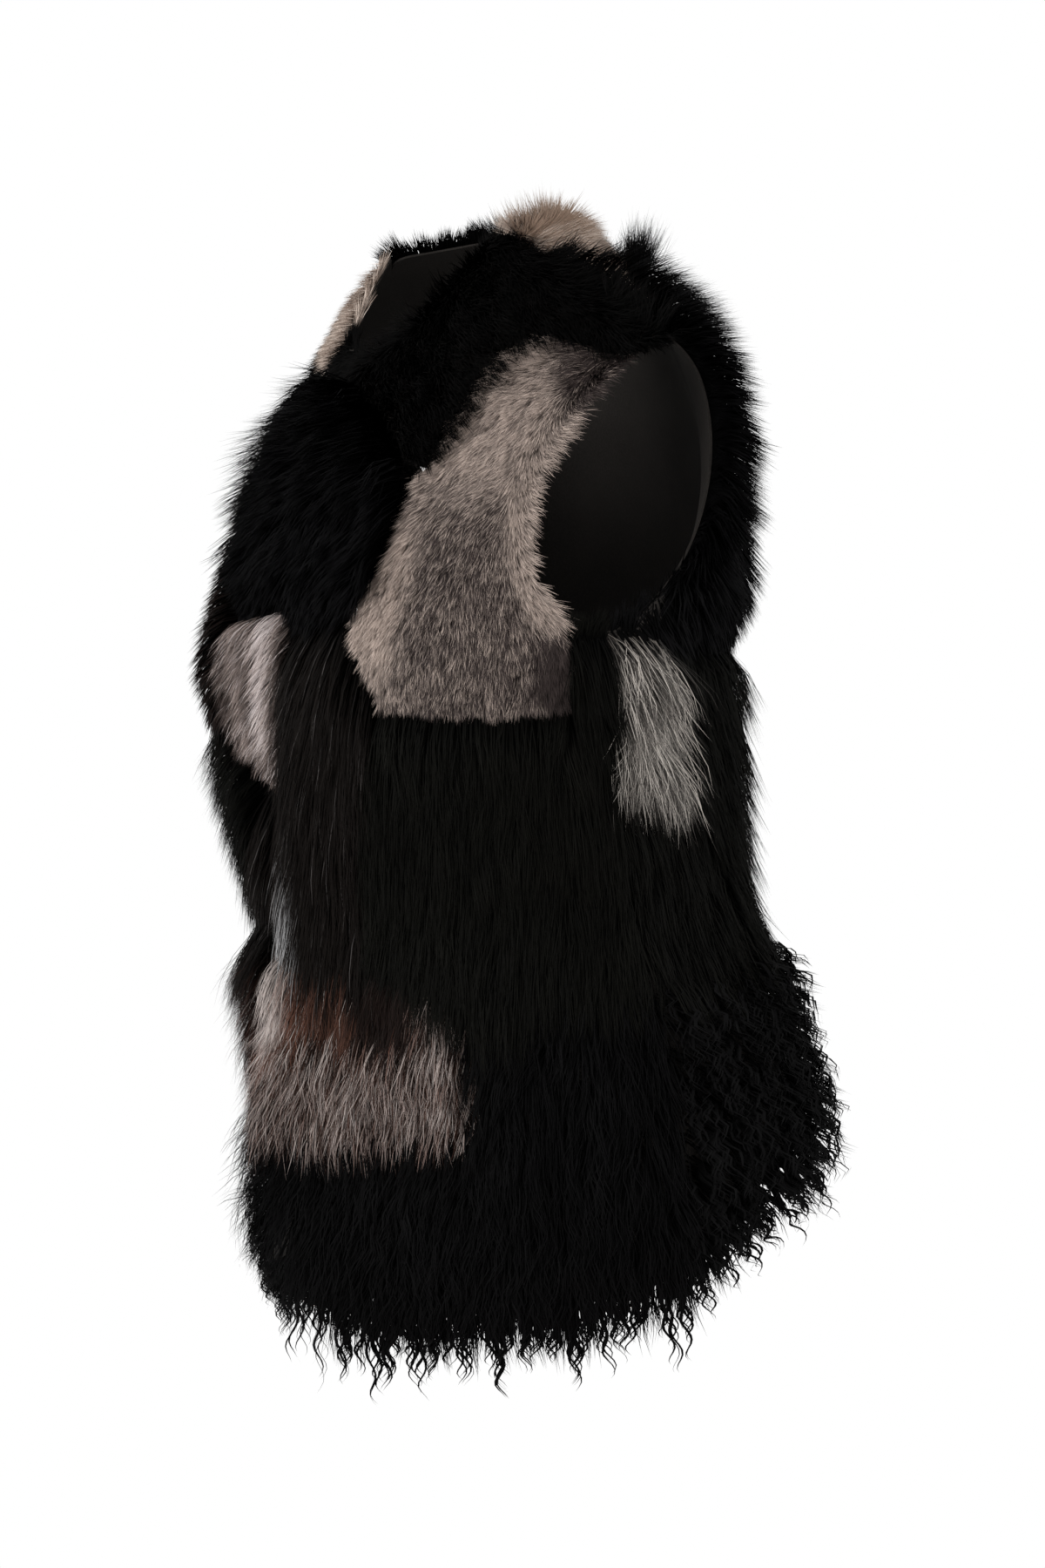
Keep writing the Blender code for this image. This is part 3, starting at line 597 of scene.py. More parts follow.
def plain_mesh(name, mesh):
    """A plain mesh of one that was worked on, which is then let go."""
    result = bpy.data.meshes.new(name)
    mesh.to_mesh(result)
    mesh.free()
    return result


def evaluated_copy(name, mesh, add_modifiers):
    """A plain mesh of an object with these modifiers."""
    holder = bpy.data.objects.new(name, mesh)
    bpy.context.scene.collection.objects.link(holder)
    add_modifiers(holder)
    depsgraph = bpy.context.evaluated_depsgraph_get()
    result = bpy.data.meshes.new_from_object(holder.evaluated_get(depsgraph))
    bpy.data.objects.remove(holder)
    result.name = name
    return result


def rounded(holder, levels=PLANTING_LEVELS):
    """Rounds the facets of a layer."""
    smoother = holder.modifiers.new("rounded", "SUBSURF")
    smoother.levels = levels
    smoother.render_levels = levels
    smoother.boundary_smooth = "PRESERVE_CORNERS"


def rim(layer):
    """The points on the edge of a layer: their numbers, places and ways out of the piece."""
    mesh = bmesh.new()
    mesh.from_mesh(layer)
    numbers, places, ways = [], [], []
    for vert in mesh.verts:
        edges = [edge for edge in vert.link_edges if edge.is_boundary]
        if edges:
            way = Vector()
            for edge in edges:
                middle = (edge.verts[0].co + edge.verts[1].co) / 2
                way += (middle - edge.link_faces[0].calc_center_median()).normalized()
            numbers.append(vert.index)
            places.append(vert.co[:])
            ways.append(way.normalized()[:])
    mesh.free()
    return numbers, np.array(places), np.array(ways)


def let_out(layer):
    """A layer let out a little all round, so that the hides meet at their seams."""
    wide = layer.copy()
    numbers, places, ways = rim(wide)
    for number, place in zip(numbers, places + ways * SEAM_COVER):
        wide.vertices[number].co = place
    return wide


def hide(piece, layer, finish):
    """The skin of a piece, a thin shell on the leather side of its solid, rounder on the shoulders."""
    on_shoulders = piece.node in (YOKE, *FRONT_SHOULDERS)

    def shell(holder):
        rounded(holder, PLANTING_LEVELS if on_shoulders else HIDE_LEVELS)
        thick = holder.modifiers.new("thick", "SOLIDIFY")
        thick.thickness = HIDE_THICKNESS
        thick.offset = 1.0

    mesh = evaluated_copy(f"{piece.node}_hide", let_out(layer), shell)
    mesh.shade_smooth()
    mesh.set_sharp_from_angle(angle=SHARP_ANGLE)
    mesh.materials.clear()
    mesh.materials.append(finish)
    return placed(mesh)


def placed(mesh):
    """An object for a finished mesh."""
    thing = bpy.data.objects.new(mesh.name, mesh)
    bpy.context.scene.collection.objects.link(thing)
    return thing


# How the hair lies and where its shades are
# The plain factors in the functions are shares: of standing upright, of a fur's length, or of dark to pale.

TINY = 1e-6
PARTING_WIDTH = 0.03
SWIRL_SIZE = 0.035
STREAK_STRETCH = (1.0, 1.0, 0.25)
ROUND_SIDE = (0.454, 0.891)
NECK_HALF_WIDTH = 0.075
NECK_HALF_DEPTH = 0.060

# Spans, from and to. They are heights, unless the name's last word says otherwise: ACROSS is out from the
# centre line, ROUND is round the left side, BEHIND is towards the back, GAP is in from an edge, and SHARE is
# a share of a width or of a way. One number alone is a place, a size or a slope.
UPWARD_SHARE = (0.2, 0.7)
NECK_FUR_SHARE = (1.0, 1.8)
YOKE_RISE = (-0.200, -0.120)
YOKE_TOP = (-0.180, -0.130)
YOKE_FOOT = (-0.235, -0.190)
PATCH_END_ACROSS = (0.070, 0.100)
PATCH_FAR_ROUND = (0.052, 0.075)
PATCH_BACK_Y = 0.090
PATCH_BACK_SLOPE = 0.272
PATCH_BACK_GAP = (0.002, 0.014)
CHEST_TOP = (-0.170, -0.120)
CHEST_FOOT = (-0.222, -0.180)
BROWN_FOOT = (-0.275, -0.245)

STRAP_TURN = (-0.22, -0.13)
STRAP_TOP = (-0.115, -0.095)
STRAP = (-0.180, -0.130)
STRAP_END = (-0.125, -0.105)
STRAP_END_ROUND = (0.052, 0.070)
GREY_FOOT = (-0.277, -0.245)
GREY_CORNER = (-0.246, -0.226)
GREY_CORNER_ROUND = (0.038, 0.052)
GREY_EDGE_SHARE = (0.05, 0.50)
CREAM_ACROSS = (0.104, 0.118)
CREAM_TOP = (-0.180, -0.160)
CREAM_FOOT = (-0.262, -0.242)

STRIPE_TOP = -0.218
STRIPE_POINT = -0.318
STRIPE_POINT_WIDTH = 0.020
STRIPE_WIDENING = 0.058
STRIPE_FOOT = (-0.318, -0.280)
WHITE_FROM_SHARE = (0.10, 0.18)
WHITE_TO_SHARE = (0.44, 0.49)
WHITE_FOOT = (-0.300, -0.286)
GREY_STRIPE_FROM_SHARE = (0.62, 0.72)
GREY_STRIPE_TO_SHARE = (0.88, 0.98)

LEFT_SIDE_FOOT = (-0.425, -0.385)
ABOVE_FOX_FROM_ACROSS = (0.090, 0.105)
ABOVE_FOX_TO_ACROSS = (0.130, 0.150)
RIGHT_SIDE_RISE = (-0.345, -0.305)
RIGHT_WAIST = (-0.375, -0.345)
RIGHT_SIDE_FRONT_ACROSS = -0.100
LEFT_STRIP_FOOT = (-0.400, -0.360)
RIGHT_STRIP_FOOT = (-0.398, -0.380)
STRIP_EDGE_ACROSS = (0.0, 0.030)
# Where pale hairs paint a sheen on the left strip
PAINTED_SHEEN_FOOT = (-0.372, -0.318)
PAINTED_SHEEN_ACROSS = (0.016, 0.034)

FOX_TOP = -0.42
FOX_HEIGHT = 0.088
FOX_TOP_BAND = (-0.462, -0.438)
FOX_FOOT = (-0.500, -0.460)
FOX_ACROSS = (0.0, 0.120)
FOX_CENTRE_ACROSS = (0.005, 0.045)
FOX_OUTER_ACROSS = 0.104
FOX_OUTER_SLANT = 0.016
FOX_OUTER_BEFORE = 0.004
FOX_OUTER_BEYOND = 0.006
FOX_RUST_ACROSS = (0.060, 0.075)
FOX_BLACK_FROM_ACROSS = (0.056, 0.068)
FOX_BLACK_TO_ACROSS = (0.088, 0.097)
FOX_PALE_ACROSS = (0.008, 0.026)
FOX_PALE_FOOT = (-0.475, -0.445)
RIGHT_FOX_TOP = (-0.460, -0.425)
RIGHT_FOX_FOOT = (-0.480, -0.455)

LAMB_CENTRE_ACROSS = (0.020, 0.060)
LAMB_CURL = (-0.600, -0.500)
LAMB_CURL_BEHIND = (0.04, 0.10)
LEFT_LAMB_FOOT = (-0.560, -0.520)
LEFT_LAMB_ACROSS = (0.050, 0.090)
RIGHT_LAMB_FOOT = (-0.595, -0.565)
RIGHT_LAMB_ACROSS = (0.080, 0.130)
BACK_LAMB_FOOT = (-0.560, -0.500)
BACK_LAMB_ACROSS = (0.030, 0.090)


def rise(values, span):
    """0 at the start of a span, 1 at its end, smooth between."""
    low, high = span
    share = np.clip((values - low) / (high - low), 0.0, 1.0)
    return share * share * (3.0 - 2.0 * share)


def fall(values, span):
    """1 at the start of a span, 0 at its end, smooth between."""
    return 1.0 - rise(values, span)


def mottle(points, size):
    """Soft patches of this size, from -1 to 1."""
    return np.array([noise.noise(Vector(p) / size) for p in points])


def streaks(points, size):
    """Soft streaks down the piece, this wide, from -1 to 1."""
    return mottle(points * STREAK_STRETCH, size)


def laid_down(ways, normals):
    """Ways laid down on the hide, each one unit long."""
    flat = ways - normals * np.sum(ways * normals, axis=1, keepdims=True)
    return flat / np.maximum(np.linalg.norm(flat, axis=1, keepdims=True), TINY)


def nap_on(points, normals, flow):
    """The lie of the hair with this flow, parted at the centre line."""
    outward, forward, down = flow
    side = np.tanh(points[:, 0] / PARTING_WIDTH)
    way = np.stack([outward * side, np.full(len(points), -forward), np.full(len(points), -down)], axis=1)
    return laid_down(way, normals)


def strap_nap(points, normals):
    """Along the strap over the shoulder, then straight down below it."""
    upper = rise(points[:, 2], STRAP_TURN)[:, None]
    way = nap_on(points, normals, ARM_FLOW) * upper + nap_on(points, normals, DOWN) * (1 - upper)
    return way / np.linalg.norm(way, axis=1, keepdims=True)


def swirled(naps, normals, points, amount):
    """The nap turned a little to and fro over the hide, as on a real skin."""
    turn = amount * mottle(points, SWIRL_SIZE)[:, None]
    return naps * np.cos(turn) + np.cross(normals, naps) * np.sin(turn)


def nearest(points, others):
    """For each point the number of the nearest of the others, and how far that is."""
    gaps = np.linalg.norm(points[:, None] - others[None], axis=2)
    return gaps.argmin(axis=1), gaps.min(axis=1)


def free_edges(rims):
    """The edge points of each piece that nothing is sewn to, at the neck, the armholes and the hem."""
    free = {}
    for node, (places, ways) in rims.items():
        others = np.concatenate([rims[other][0] for other in rims if other != node])
        apart = nearest(places, others)[1] > FREE_BEYOND
        free[node] = places[apart], ways[apart]
    return free


def sewn_edge(rims, node, other):
    """The edge points of a piece along its seam with another piece."""
    places, ways = rims[node]
    at_seam = nearest(places, rims[other][0])[1] < FREE_BEYOND
    return places[at_seam], ways[at_seam]


def by_edge(points, edge, width=EDGE_WIDTH):
    """1 on an edge and 0 away from it, and the way out over the edge."""
    places, ways = edge
    if len(places) == 0:
        return np.zeros(len(points)), np.zeros_like(points)
    number, gap = nearest(points, places)
    return fall(gap, (0.0, width)), ways[number]


def turned_out(naps, normals, ways, turn):
    """The nap turned this share of the way out over an edge."""
    return laid_down(naps + (ways - naps) * turn[:, None], normals)


def over_edge(naps, normals, close, ways):
    """The nap turned out over the free edges, so that the hair covers them, but not straight up."""
    upward = rise(ways[:, 2], UPWARD_SHARE)
    return turned_out(naps, normals, ways, EDGE_TURN * close * (1.0 - EDGE_DROP * upward))


def round_side(points):
    """How far round the left side a point lies, from the front towards the back."""
    outward, backward = ROUND_SIDE
    return outward * points[:, 0] + backward * points[:, 1]


def by_neck(points):
    """1 on the neck edge, 0 from about 5 cm outside it."""
    from_axis = np.hypot(points[:, 0] / NECK_HALF_WIDTH, points[:, 1] / NECK_HALF_DEPTH)
    return fall(from_axis, NECK_FUR_SHARE)


def fox_outer_edge(points):
    """1 along the outer edge of the left fox panel, where it is darker, shorter and flatter."""
    x, _, z = points.T
    limit = FOX_OUTER_ACROSS + FOX_OUTER_SLANT * np.clip((FOX_TOP - z) / FOX_HEIGHT, 0.0, 1.0)
    return rise(x, (limit - FOX_OUTER_BEFORE, limit + FOX_OUTER_BEYOND))


def fox_top(points):
    """1 along the top of the left fox panel."""
    return rise(points[:, 2], FOX_TOP_BAND)


def fox_rust(points):
    """1 where few hairs are pale: on the rust inner half of the left panel's top, and on the right panel."""
    x = points[:, 0]
    return np.where(x > 0, fox_top(points) * fall(x, FOX_RUST_ACROSS), 1.0)


def fox_black(points):
    """1 where the top of the left fox panel is black, between its rust half and its outer edge."""
    x = points[:, 0]
    return rise(x, FOX_BLACK_FROM_ACROSS) * fall(x, FOX_BLACK_TO_ACROSS) * fox_top(points)


def patch_far_side(points):
    """1 on the side of the beige neck patch that is away from the neck, 0 on its side by the neck."""
    return rise(round_side(points), PATCH_FAR_ROUND)


def standing(piece, points, close):
    """How much more or less the hair stands up: it lies down by lower fur, and rises at some edges."""
    x, _, z = points.T
    if piece.node == YOKE:
        shoulder = 0.30 * rise(z, YOKE_RISE) - 0.20 * fall(z, YOKE_FOOT)
        by_collar = np.where(x > 0, -0.50, -0.30) * by_neck(points)
        return shoulder + by_collar - 0.30 * close
    if piece.node == NECK_PATCH:
        return 0.06 - 0.26 * patch_far_side(points) - 0.10 * rise(x, PATCH_END_ACROSS)
    if piece.node == "right_front_side":
        return (0.20 * rise(z, RIGHT_SIDE_RISE) - 0.15 * fall(z, RIGHT_WAIST)) * (x > RIGHT_SIDE_FRONT_ACROSS)
    if piece.fur == "brown_black":
        return -0.20 * fall(z, BROWN_FOOT)
    if piece.fur == "black_short":
        return np.where(x > 0, 0.10, -0.25) * close
    if piece.fur == "black_long":
        return 0.32 * rise(z, CHEST_TOP) - 0.30 * fall(z, CHEST_FOOT)
    if piece.node == "right_front_centre_strip":
        return 0.50 * fall(z, RIGHT_STRIP_FOOT) - 0.30 * fall(z, RIGHT_WAIST)
    if piece.fur == "black_strip":
        return -0.15 * fall(np.abs(x), STRIP_EDGE_ACROSS)
    if piece.fur == "fox":
        right = 0.20 * rise(z, RIGHT_FOX_TOP) - 0.10 * fall(z, RIGHT_FOX_FOOT)
        left = 0.15 * fall(x, FOX_CENTRE_ACROSS) - 0.30 * fox_outer_edge(points) - 0.12 * fox_top(points)
        return np.where(x < 0, right, left)
    if piece.fur == "grey":
        return 0.25 * rise(z, STRAP_TOP)
    if piece.node == "back_lamb":
        return 0.10 * rise(np.abs(x), BACK_LAMB_ACROSS)
    if piece.fur == "lamb":
        return np.where(x < 0, 0.30, 0.15) * fall(np.abs(x), LAMB_CENTRE_ACROSS)
    return np.zeros(len(points))


def reaching(piece, points, close):
    """How much longer or shorter the hair is than its fur's."""
    x, y, z = points.T
    uneven = 1.0 + 0.12 * mottle(points, size=0.025)
    ragged = uneven + 0.35 * mottle(points, size=0.012)
    if piece.node == YOKE:
        by_collar = np.where(x > 0, 0.55, 0.75) * by_neck(points)
        longer = 0.10 * rise(z, YOKE_TOP) - 0.30 * fall(z, YOKE_FOOT)
        return uneven * (1.0 + longer) * (1.0 - by_collar)
    if piece.fur == "black_short":
        return uneven * (1.0 - np.where(x > 0, 0.10, 0.55) * by_neck(points))
    if piece.fur == "black_long":
        at_foot = np.where(x > 0, 0.40, 0.78) * fall(z, CHEST_FOOT)
        return uneven * (1.0 + 0.25 * rise(z, CHEST_TOP) - at_foot)
    if piece.fur == "grey":
        low = fall(z, GREY_FOOT)
        return (uneven * (1.0 - low) + 0.80 * ragged * low) * (1.0 - 0.35 * close)
    if piece.fur == "pale_stripe":
        low = fall(z, STRIPE_FOOT)
        return uneven * (1.0 - low) + 0.35 * ragged * low
    if piece.node == "left_front_centre_strip":
        return uneven * (1.0 + 0.08 * fall(z, LEFT_STRIP_FOOT))
    if piece.node == NECK_PATCH:
        back_edge = fall(PATCH_BACK_Y - PATCH_BACK_SLOPE * x - y, PATCH_BACK_GAP)
        shorter = (1.0 - 0.35 * rise(x, PATCH_END_ACROSS)) * (1.0 - 0.75 * back_edge)
        return (1.30 - 0.50 * patch_far_side(points)) * shorter * uneven
    if piece.node == "left_front_fox_panel":
        longer = (0.20 - 0.50 * rise(x, FOX_ACROSS)) * fall(z, FOX_FOOT)
        return uneven * (1.0 + longer) * (1.0 - 0.60 * fox_outer_edge(points))
    if piece.node == "left_front_side":
        above_fox = fall(z, LEFT_SIDE_FOOT) * rise(x, ABOVE_FOX_FROM_ACROSS) * fall(x, ABOVE_FOX_TO_ACROSS)
        return uneven * (1.0 + 0.60 * above_fox)
    if piece.node == "right_front_neck_patch":
        return 0.65 * uneven
    if piece.node == "back_lamb":
        return uneven * (0.93 - 0.15 * fall(z, BACK_LAMB_FOOT))
    if piece.node == "left_front_lamb":
        return uneven * (1.0 + 0.30 * fall(x, LEFT_LAMB_ACROSS) * fall(z, LEFT_LAMB_FOOT))
    if piece.node == "right_front_lamb":
        return uneven * (1.0 - 0.50 * fall(-x, RIGHT_LAMB_ACROSS) * fall(z, RIGHT_LAMB_FOOT))
    return uneven


def curling(piece, points):
    """How much of its curl the hair has: front lamb is nearly straight at the top and curls at the hem."""
    if piece.fur != "lamb":
        return np.ones(len(points))
    return 0.35 + 0.65 * np.maximum(fall(points[:, 2], LAMB_CURL), rise(points[:, 1], LAMB_CURL_BEHIND))


def pale_chance(piece, points):
    """The share of pale hairs among the others."""
    share = FURS[piece.fur].tone.pale_share
    if piece.fur == "fox":
        return share * (1.0 - 0.94 * fox_rust(points)) * (1.0 - fox_black(points))
    if piece.fur == "grey":
        # Fewer pale hairs at the strap's end: partly its own colour, partly painted shade
        return share * (1.0 - grey_corner(points)) * (1.0 - 0.60 * strap_end_dark_and_shade(points))
    if piece.fur == "black_strip":
        # The strip's painted sheen: many more pale hairs at its lower end
        return share + 0.75 * strip_painted_sheen(points)
    return np.full(len(points), share)


def strip_painted_sheen(points):
    """1 at the lower end of the strip by the centre front, where pale hair tips are a painted sheen."""
    x, _, z = points.T
    return fall(z, PAINTED_SHEEN_FOOT) * fall(x, PAINTED_SHEEN_ACROSS) * (x > 0)


def grey_corner(points):
    """1 in the lower outer corner of the grey patch, where it darkens into the black side."""
    round_to = round_side(points) + 0.010 * mottle(points, size=0.010)
    return rise(round_to, GREY_CORNER_ROUND) * fall(points[:, 2], GREY_CORNER)


def strap_end_dark_and_shade(points):
    """1 at the upper end of the grey patch by the armhole: darker hair, partly painted shade."""
    return rise(points[:, 2], STRAP_END) * rise(round_side(points), STRAP_END_ROUND)


def grey_shade(points, close):
    """Grey-brown, with a cream corner by the chest, a beige armhole edge and a pale strap with a dark end."""
    x, _, z = points.T
    strap = rise(z, STRAP)
    cream = fall(x, CREAM_ACROSS) * fall(z, CREAM_TOP) * (0.4 + 0.6 * rise(z, CREAM_FOOT))
    edge = rise(close, GREY_EDGE_SHARE) * (1.0 - strap)
    patchy = 0.12 * mottle(points, size=0.014) + 0.12 * mottle(points, size=0.006)
    # The strap's dark end is partly its own colour and partly painted shade against the light from above
    pale = 0.78 * cream + 0.75 * edge + 0.54 * strap - 0.75 * strap_end_dark_and_shade(points) - grey_corner(points)
    return -0.08 + pale + patchy


def stripe_shade(points):
    """White by the centre front, then grey-brown, then pale, drawn together towards the lower point."""
    x, _, z = points.T
    width = STRIPE_POINT_WIDTH + STRIPE_WIDENING * (z - STRIPE_POINT) / (STRIPE_TOP - STRIPE_POINT)
    across = np.abs(x) / width
    ragged = across + 0.06 * mottle(points, size=0.010)
    white = rise(ragged, WHITE_FROM_SHARE) * fall(across, WHITE_TO_SHARE) * rise(z, WHITE_FOOT)
    grey = rise(across, GREY_STRIPE_FROM_SHARE) * fall(across, GREY_STRIPE_TO_SHARE)
    plain = 0.03 + 0.76 * white + 0.30 * grey
    return plain + 0.08 * mottle(points, size=0.008) + 0.14 * grey * streaks(points, size=0.005)


def fox_shade(points):
    """Dark with pale hairs; the left panel has a rust top that turns pale towards the centre front."""
    x, _, z = points.T
    by_centre = fall(x, FOX_PALE_ACROSS) * rise(z, FOX_PALE_FOOT)
    left = 0.06 + 0.28 * fox_rust(points) + 0.70 * by_centre
    left = left * (1.0 - fox_outer_edge(points)) * (1.0 - fox_black(points)) - 0.35 * fox_black(points)
    return np.where(x > 0, left, 0.06) + 0.06 * mottle(points, size=0.012)


def strip_shade(points):
    """Black, with a painted sheen of pale hairs at its lower end."""
    return -0.27 + 0.50 * strip_painted_sheen(points) + 0.05 * mottle(points, size=0.010)


def beige_shade(points):
    """Patchy beige; painted light and shade make the lit right front darker and the shaded back paler."""
    patchy = 0.20 * mottle(points, size=0.020) + 0.15 * mottle(points, size=0.008)
    # Painted light and shade: the back patch, in shade, is paler; the right front, lit, is darker
    return np.where(points[:, 0] > 0, 0.62, 0.22) + patchy


def silver_shade(points):
    return 0.03 + 0.08 * mottle(points, size=0.012)


def plain_shade(points):
    return 0.40 + 0.20 * mottle(points, size=0.030)


SHADES = {
    "pale_stripe": stripe_shade,
    "fox": fox_shade,
    "black_strip": strip_shade,
    "beige": beige_shade,
    "silver_fox": silver_shade,
}


def shading(piece, points, close):
    """How far the hair is from dark to pale."""
    if piece.fur == "grey":
        return grey_shade(points, close)
    return SHADES.get(piece.fur, plain_shade)(points)


def places_and_normals(mesh):
    """The places and the normals of a mesh's points."""
    points = np.empty(len(mesh.vertices) * 3)
    normals = np.empty(len(mesh.vertices) * 3)
    mesh.vertices.foreach_get("co", points)
    mesh.vertex_normals.foreach_get("vector", normals)
    return points.reshape(-1, 3), normals.reshape(-1, 3)


def prepare_ground(piece, ground, free, rims):
    """Keeps the lie, length, curl and shades of the hair on a piece's ground, and raises it onto the hide."""
    points, normals = places_and_normals(ground)
    close, ways = by_edge(points, free)
    if piece.flow == ARM_FLOW:
        lies = strap_nap(points, normals)
    else:
        lies = nap_on(points, normals, piece.flow)
    lies = swirled(lies, normals, points, FURS[piece.fur].lie.swirl)
    lies = over_edge(lies, normals, close, ways)
    if piece.node in FRONT_SHOULDERS:
        at_seam, over = by_edge(points, sewn_edge(rims, piece.node, YOKE), COMB_WIDTH)
        lies = turned_out(lies, normals, over, COMB_TURN * at_seam)
    keep_values(ground, "hide_nap", lies)
    keep_values(ground, "hide_stand", standing(piece, points, close))
    keep_values(ground, "hide_reach", reaching(piece, points, close))
    keep_values(ground, "hide_curl", curling(piece, points))
    keep_values(ground, "hide_pale", pale_chance(piece, points))
    keep_values(ground, "hide_shade", shading(piece, points, close))
    raised = points + normals * HIDE_THICKNESS
    ground.vertices.foreach_set("co", raised.ravel())


def hem_ground(piece, ground):
    """The lowest row of a hide's faces, along its hem."""
    mesh = bmesh.new()
    mesh.from_mesh(ground)

    def on_hem(face):
        middle = face.calc_center_median()
        for edge in face.edges:
            if edge.is_boundary:
                inward = middle - (edge.verts[0].co + edge.verts[1].co) / 2
                if inward.normalized().z > HEM_SLOPE:
                    return True
        return False

    bmesh.ops.delete(mesh, geom=[f for f in mesh.faces if not on_hem(f)], context="FACES")
    return plain_mesh(f"{piece.node}_hem", mesh)


def edge_ground(name, ground, edge):
    """The faces of a hide along an edge, where its hair leans out over the edge."""
    mesh = bmesh.new()
    mesh.from_mesh(ground)
    outer = [vert for vert in mesh.verts if vert.is_boundary]
    gaps = nearest(np.array([vert.co[:] for vert in outer]), edge[0])[1]
    on_edge = {vert for vert, gap in zip(outer, gaps) if gap < EDGE_NEAR}
    inner = [face for face in mesh.faces if on_edge.isdisjoint(face.verts)]
    bmesh.ops.delete(mesh, geom=inner, context="FACES")
    band = plain_mesh(name, mesh)
    points, normals = places_and_normals(band)
    _, ways = by_edge(points, edge)
    leaning = turned_out(np.zeros_like(points), normals, ways, np.full(len(points), EDGE_LEAN))
    ragged = 1.0 + EDGE_RAGGED * mottle(points, EDGE_MOTTLE)
    own = {"hide_nap": leaning, "hide_stand": np.zeros(len(points)), "hide_reach": ragged}
    for key, values in own.items():
        band.attributes.remove(band.attributes[key])
        keep_values(band, key, values)
    return band


def planted(name, ground, fur, per_cm2, seed, finish, kit):
    """A row or a whole piece of pile on this ground, as a plain mesh."""
    values = {
        "Blade": kit.blades[fur.blade.segments, fur.blade.taper],
        "Per Square Metre": per_cm2 * CM2_PER_M2,
        "Seed": seed,
        "Length": fur.blade.length,
        "Length Spread": fur.blade.spread,
        "Width": fur.blade.width,
        "Root Lift": fur.lie.root_lift,
        "Tip Lift": fur.lie.tip_lift,
        "Stray": fur.lie.stray,
        "Clump Size": fur.clump.size,
        "Clump Pull": fur.clump.pull,
        "Clump Swing": fur.clump.swing,
        "Curl Radius": fur.curl.radius,
        "Curl Turns": fur.curl.turns,
        "Shade Spread": fur.tone.spread,
        "Finish": finish,
    }

    def grow(holder):
        modifier = holder.modifiers.new("pile", "NODES")
        modifier.node_group = kit.tree
        for socket in kit.tree.interface.items_tree:
            if socket.in_out == "INPUT" and socket.name in values:
                value = values[socket.name]
                is_number = socket.socket_type == "NodeSocketFloat"
                modifier[socket.identifier] = float(value) if is_number else value

    return placed(evaluated_copy(name, ground, grow))


# Finishes

SHADE_NAMES = ("Dark", "Middle", "Pale")


def tone_group():
    """The colour of hair from root to tip, and from dark hairs by the middle ones to pale ones."""
    group = bpy.data.node_groups.new("hair_tone", "ShaderNodeTree")
    for name in SHADE_NAMES:
        for end in ("Root", "Tip"):
            group.interface.new_socket(f"{name} {end}", in_out="INPUT", socket_type="NodeSocketColor")
    for name in ("Root Depth", "Roughness"):
        group.interface.new_socket(name, in_out="INPUT", socket_type="NodeSocketFloat")
    group.interface.new_socket("Map", in_out="INPUT", socket_type="NodeSocketVector")
    group.interface.new_socket("Color", in_out="OUTPUT", socket_type="NodeSocketColor")
    group.interface.new_socket("Roughness", in_out="OUTPUT", socket_type="NodeSocketFloat")
    given = group.nodes.new("NodeGroupInput").outputs
    shade, along, _ = wire(group, "ShaderNodeSeparateXYZ", (given["Map"],)).node.outputs
    # Towards the root the colour darkens: partly the hair's own, partly painted shade in the pile
    to_tip = {"Value": along, "From Min": 0.0, "From Max": given["Root Depth"]}
    tipped = wire(group, "ShaderNodeMapRange", to_tip, interpolation_type="SMOOTHSTEP")
    dark, middle, pale = (
        blended(group, tipped, given[f"{shade_name} Root"], given[f"{shade_name} Tip"])
        for shade_name in SHADE_NAMES
    )
    colour = blended(group, maths(group, "MULTIPLY", shade, 2.0), dark, middle)
    colour = blended(group, maths(group, "MULTIPLY_ADD", shade, 2.0, -1.0), colour, pale)
    to_root = maths(group, "SUBTRACT", 1.0, along)
    duller = maths(group, "MULTIPLY_ADD", to_root, ROOT_DULLNESS, given["Roughness"])
    wire(group, "NodeGroupOutput", {"Color": colour, "Roughness": duller})
    return group


def new_finish(name):
    """A new material, with its nodes and its shader."""
    material = bpy.data.materials.new(name)
    material.use_nodes = True
    return material, material.node_tree, material.node_tree.nodes["Principled BSDF"]


def fur_finish(name, hair, group):
    """Hair with its own colours, read from the map on each hair."""
    material, tree, shader = new_finish(f"{name}_fur")
    toned = tree.nodes.new("ShaderNodeGroup")
    toned.node_tree = group
    root_between = tuple(np.mean((hair.dark_root, hair.pale_root), axis=0))
    tip_between = tuple(np.mean((hair.dark_tip, hair.pale_tip), axis=0))
    middle_root, middle_tip = MIDDLES.get(name, (root_between, tip_between))
    colours = {
        "Dark Root": hair.dark_root,
        "Dark Tip": hair.dark_tip,
        "Middle Root": middle_root,
        "Middle Tip": middle_tip,
        "Pale Root": hair.pale_root,
        "Pale Tip": hair.pale_tip,
    }
    for socket, colour in colours.items():
        toned.inputs[socket].default_value = (*colour, 1.0)
    toned.inputs["Root Depth"].default_value = hair.root_depth
    toned.inputs["Roughness"].default_value = hair.roughness
    tree.links.new(wire(tree, "ShaderNodeUVMap", uv_map=HAIR_MAP), toned.inputs["Map"])
    tree.links.new(toned.outputs["Color"], shader.inputs["Base Color"])
    tree.links.new(toned.outputs["Roughness"], shader.inputs["Roughness"])
    shader.inputs["Specular IOR Level"].default_value = hair.gloss
    return material


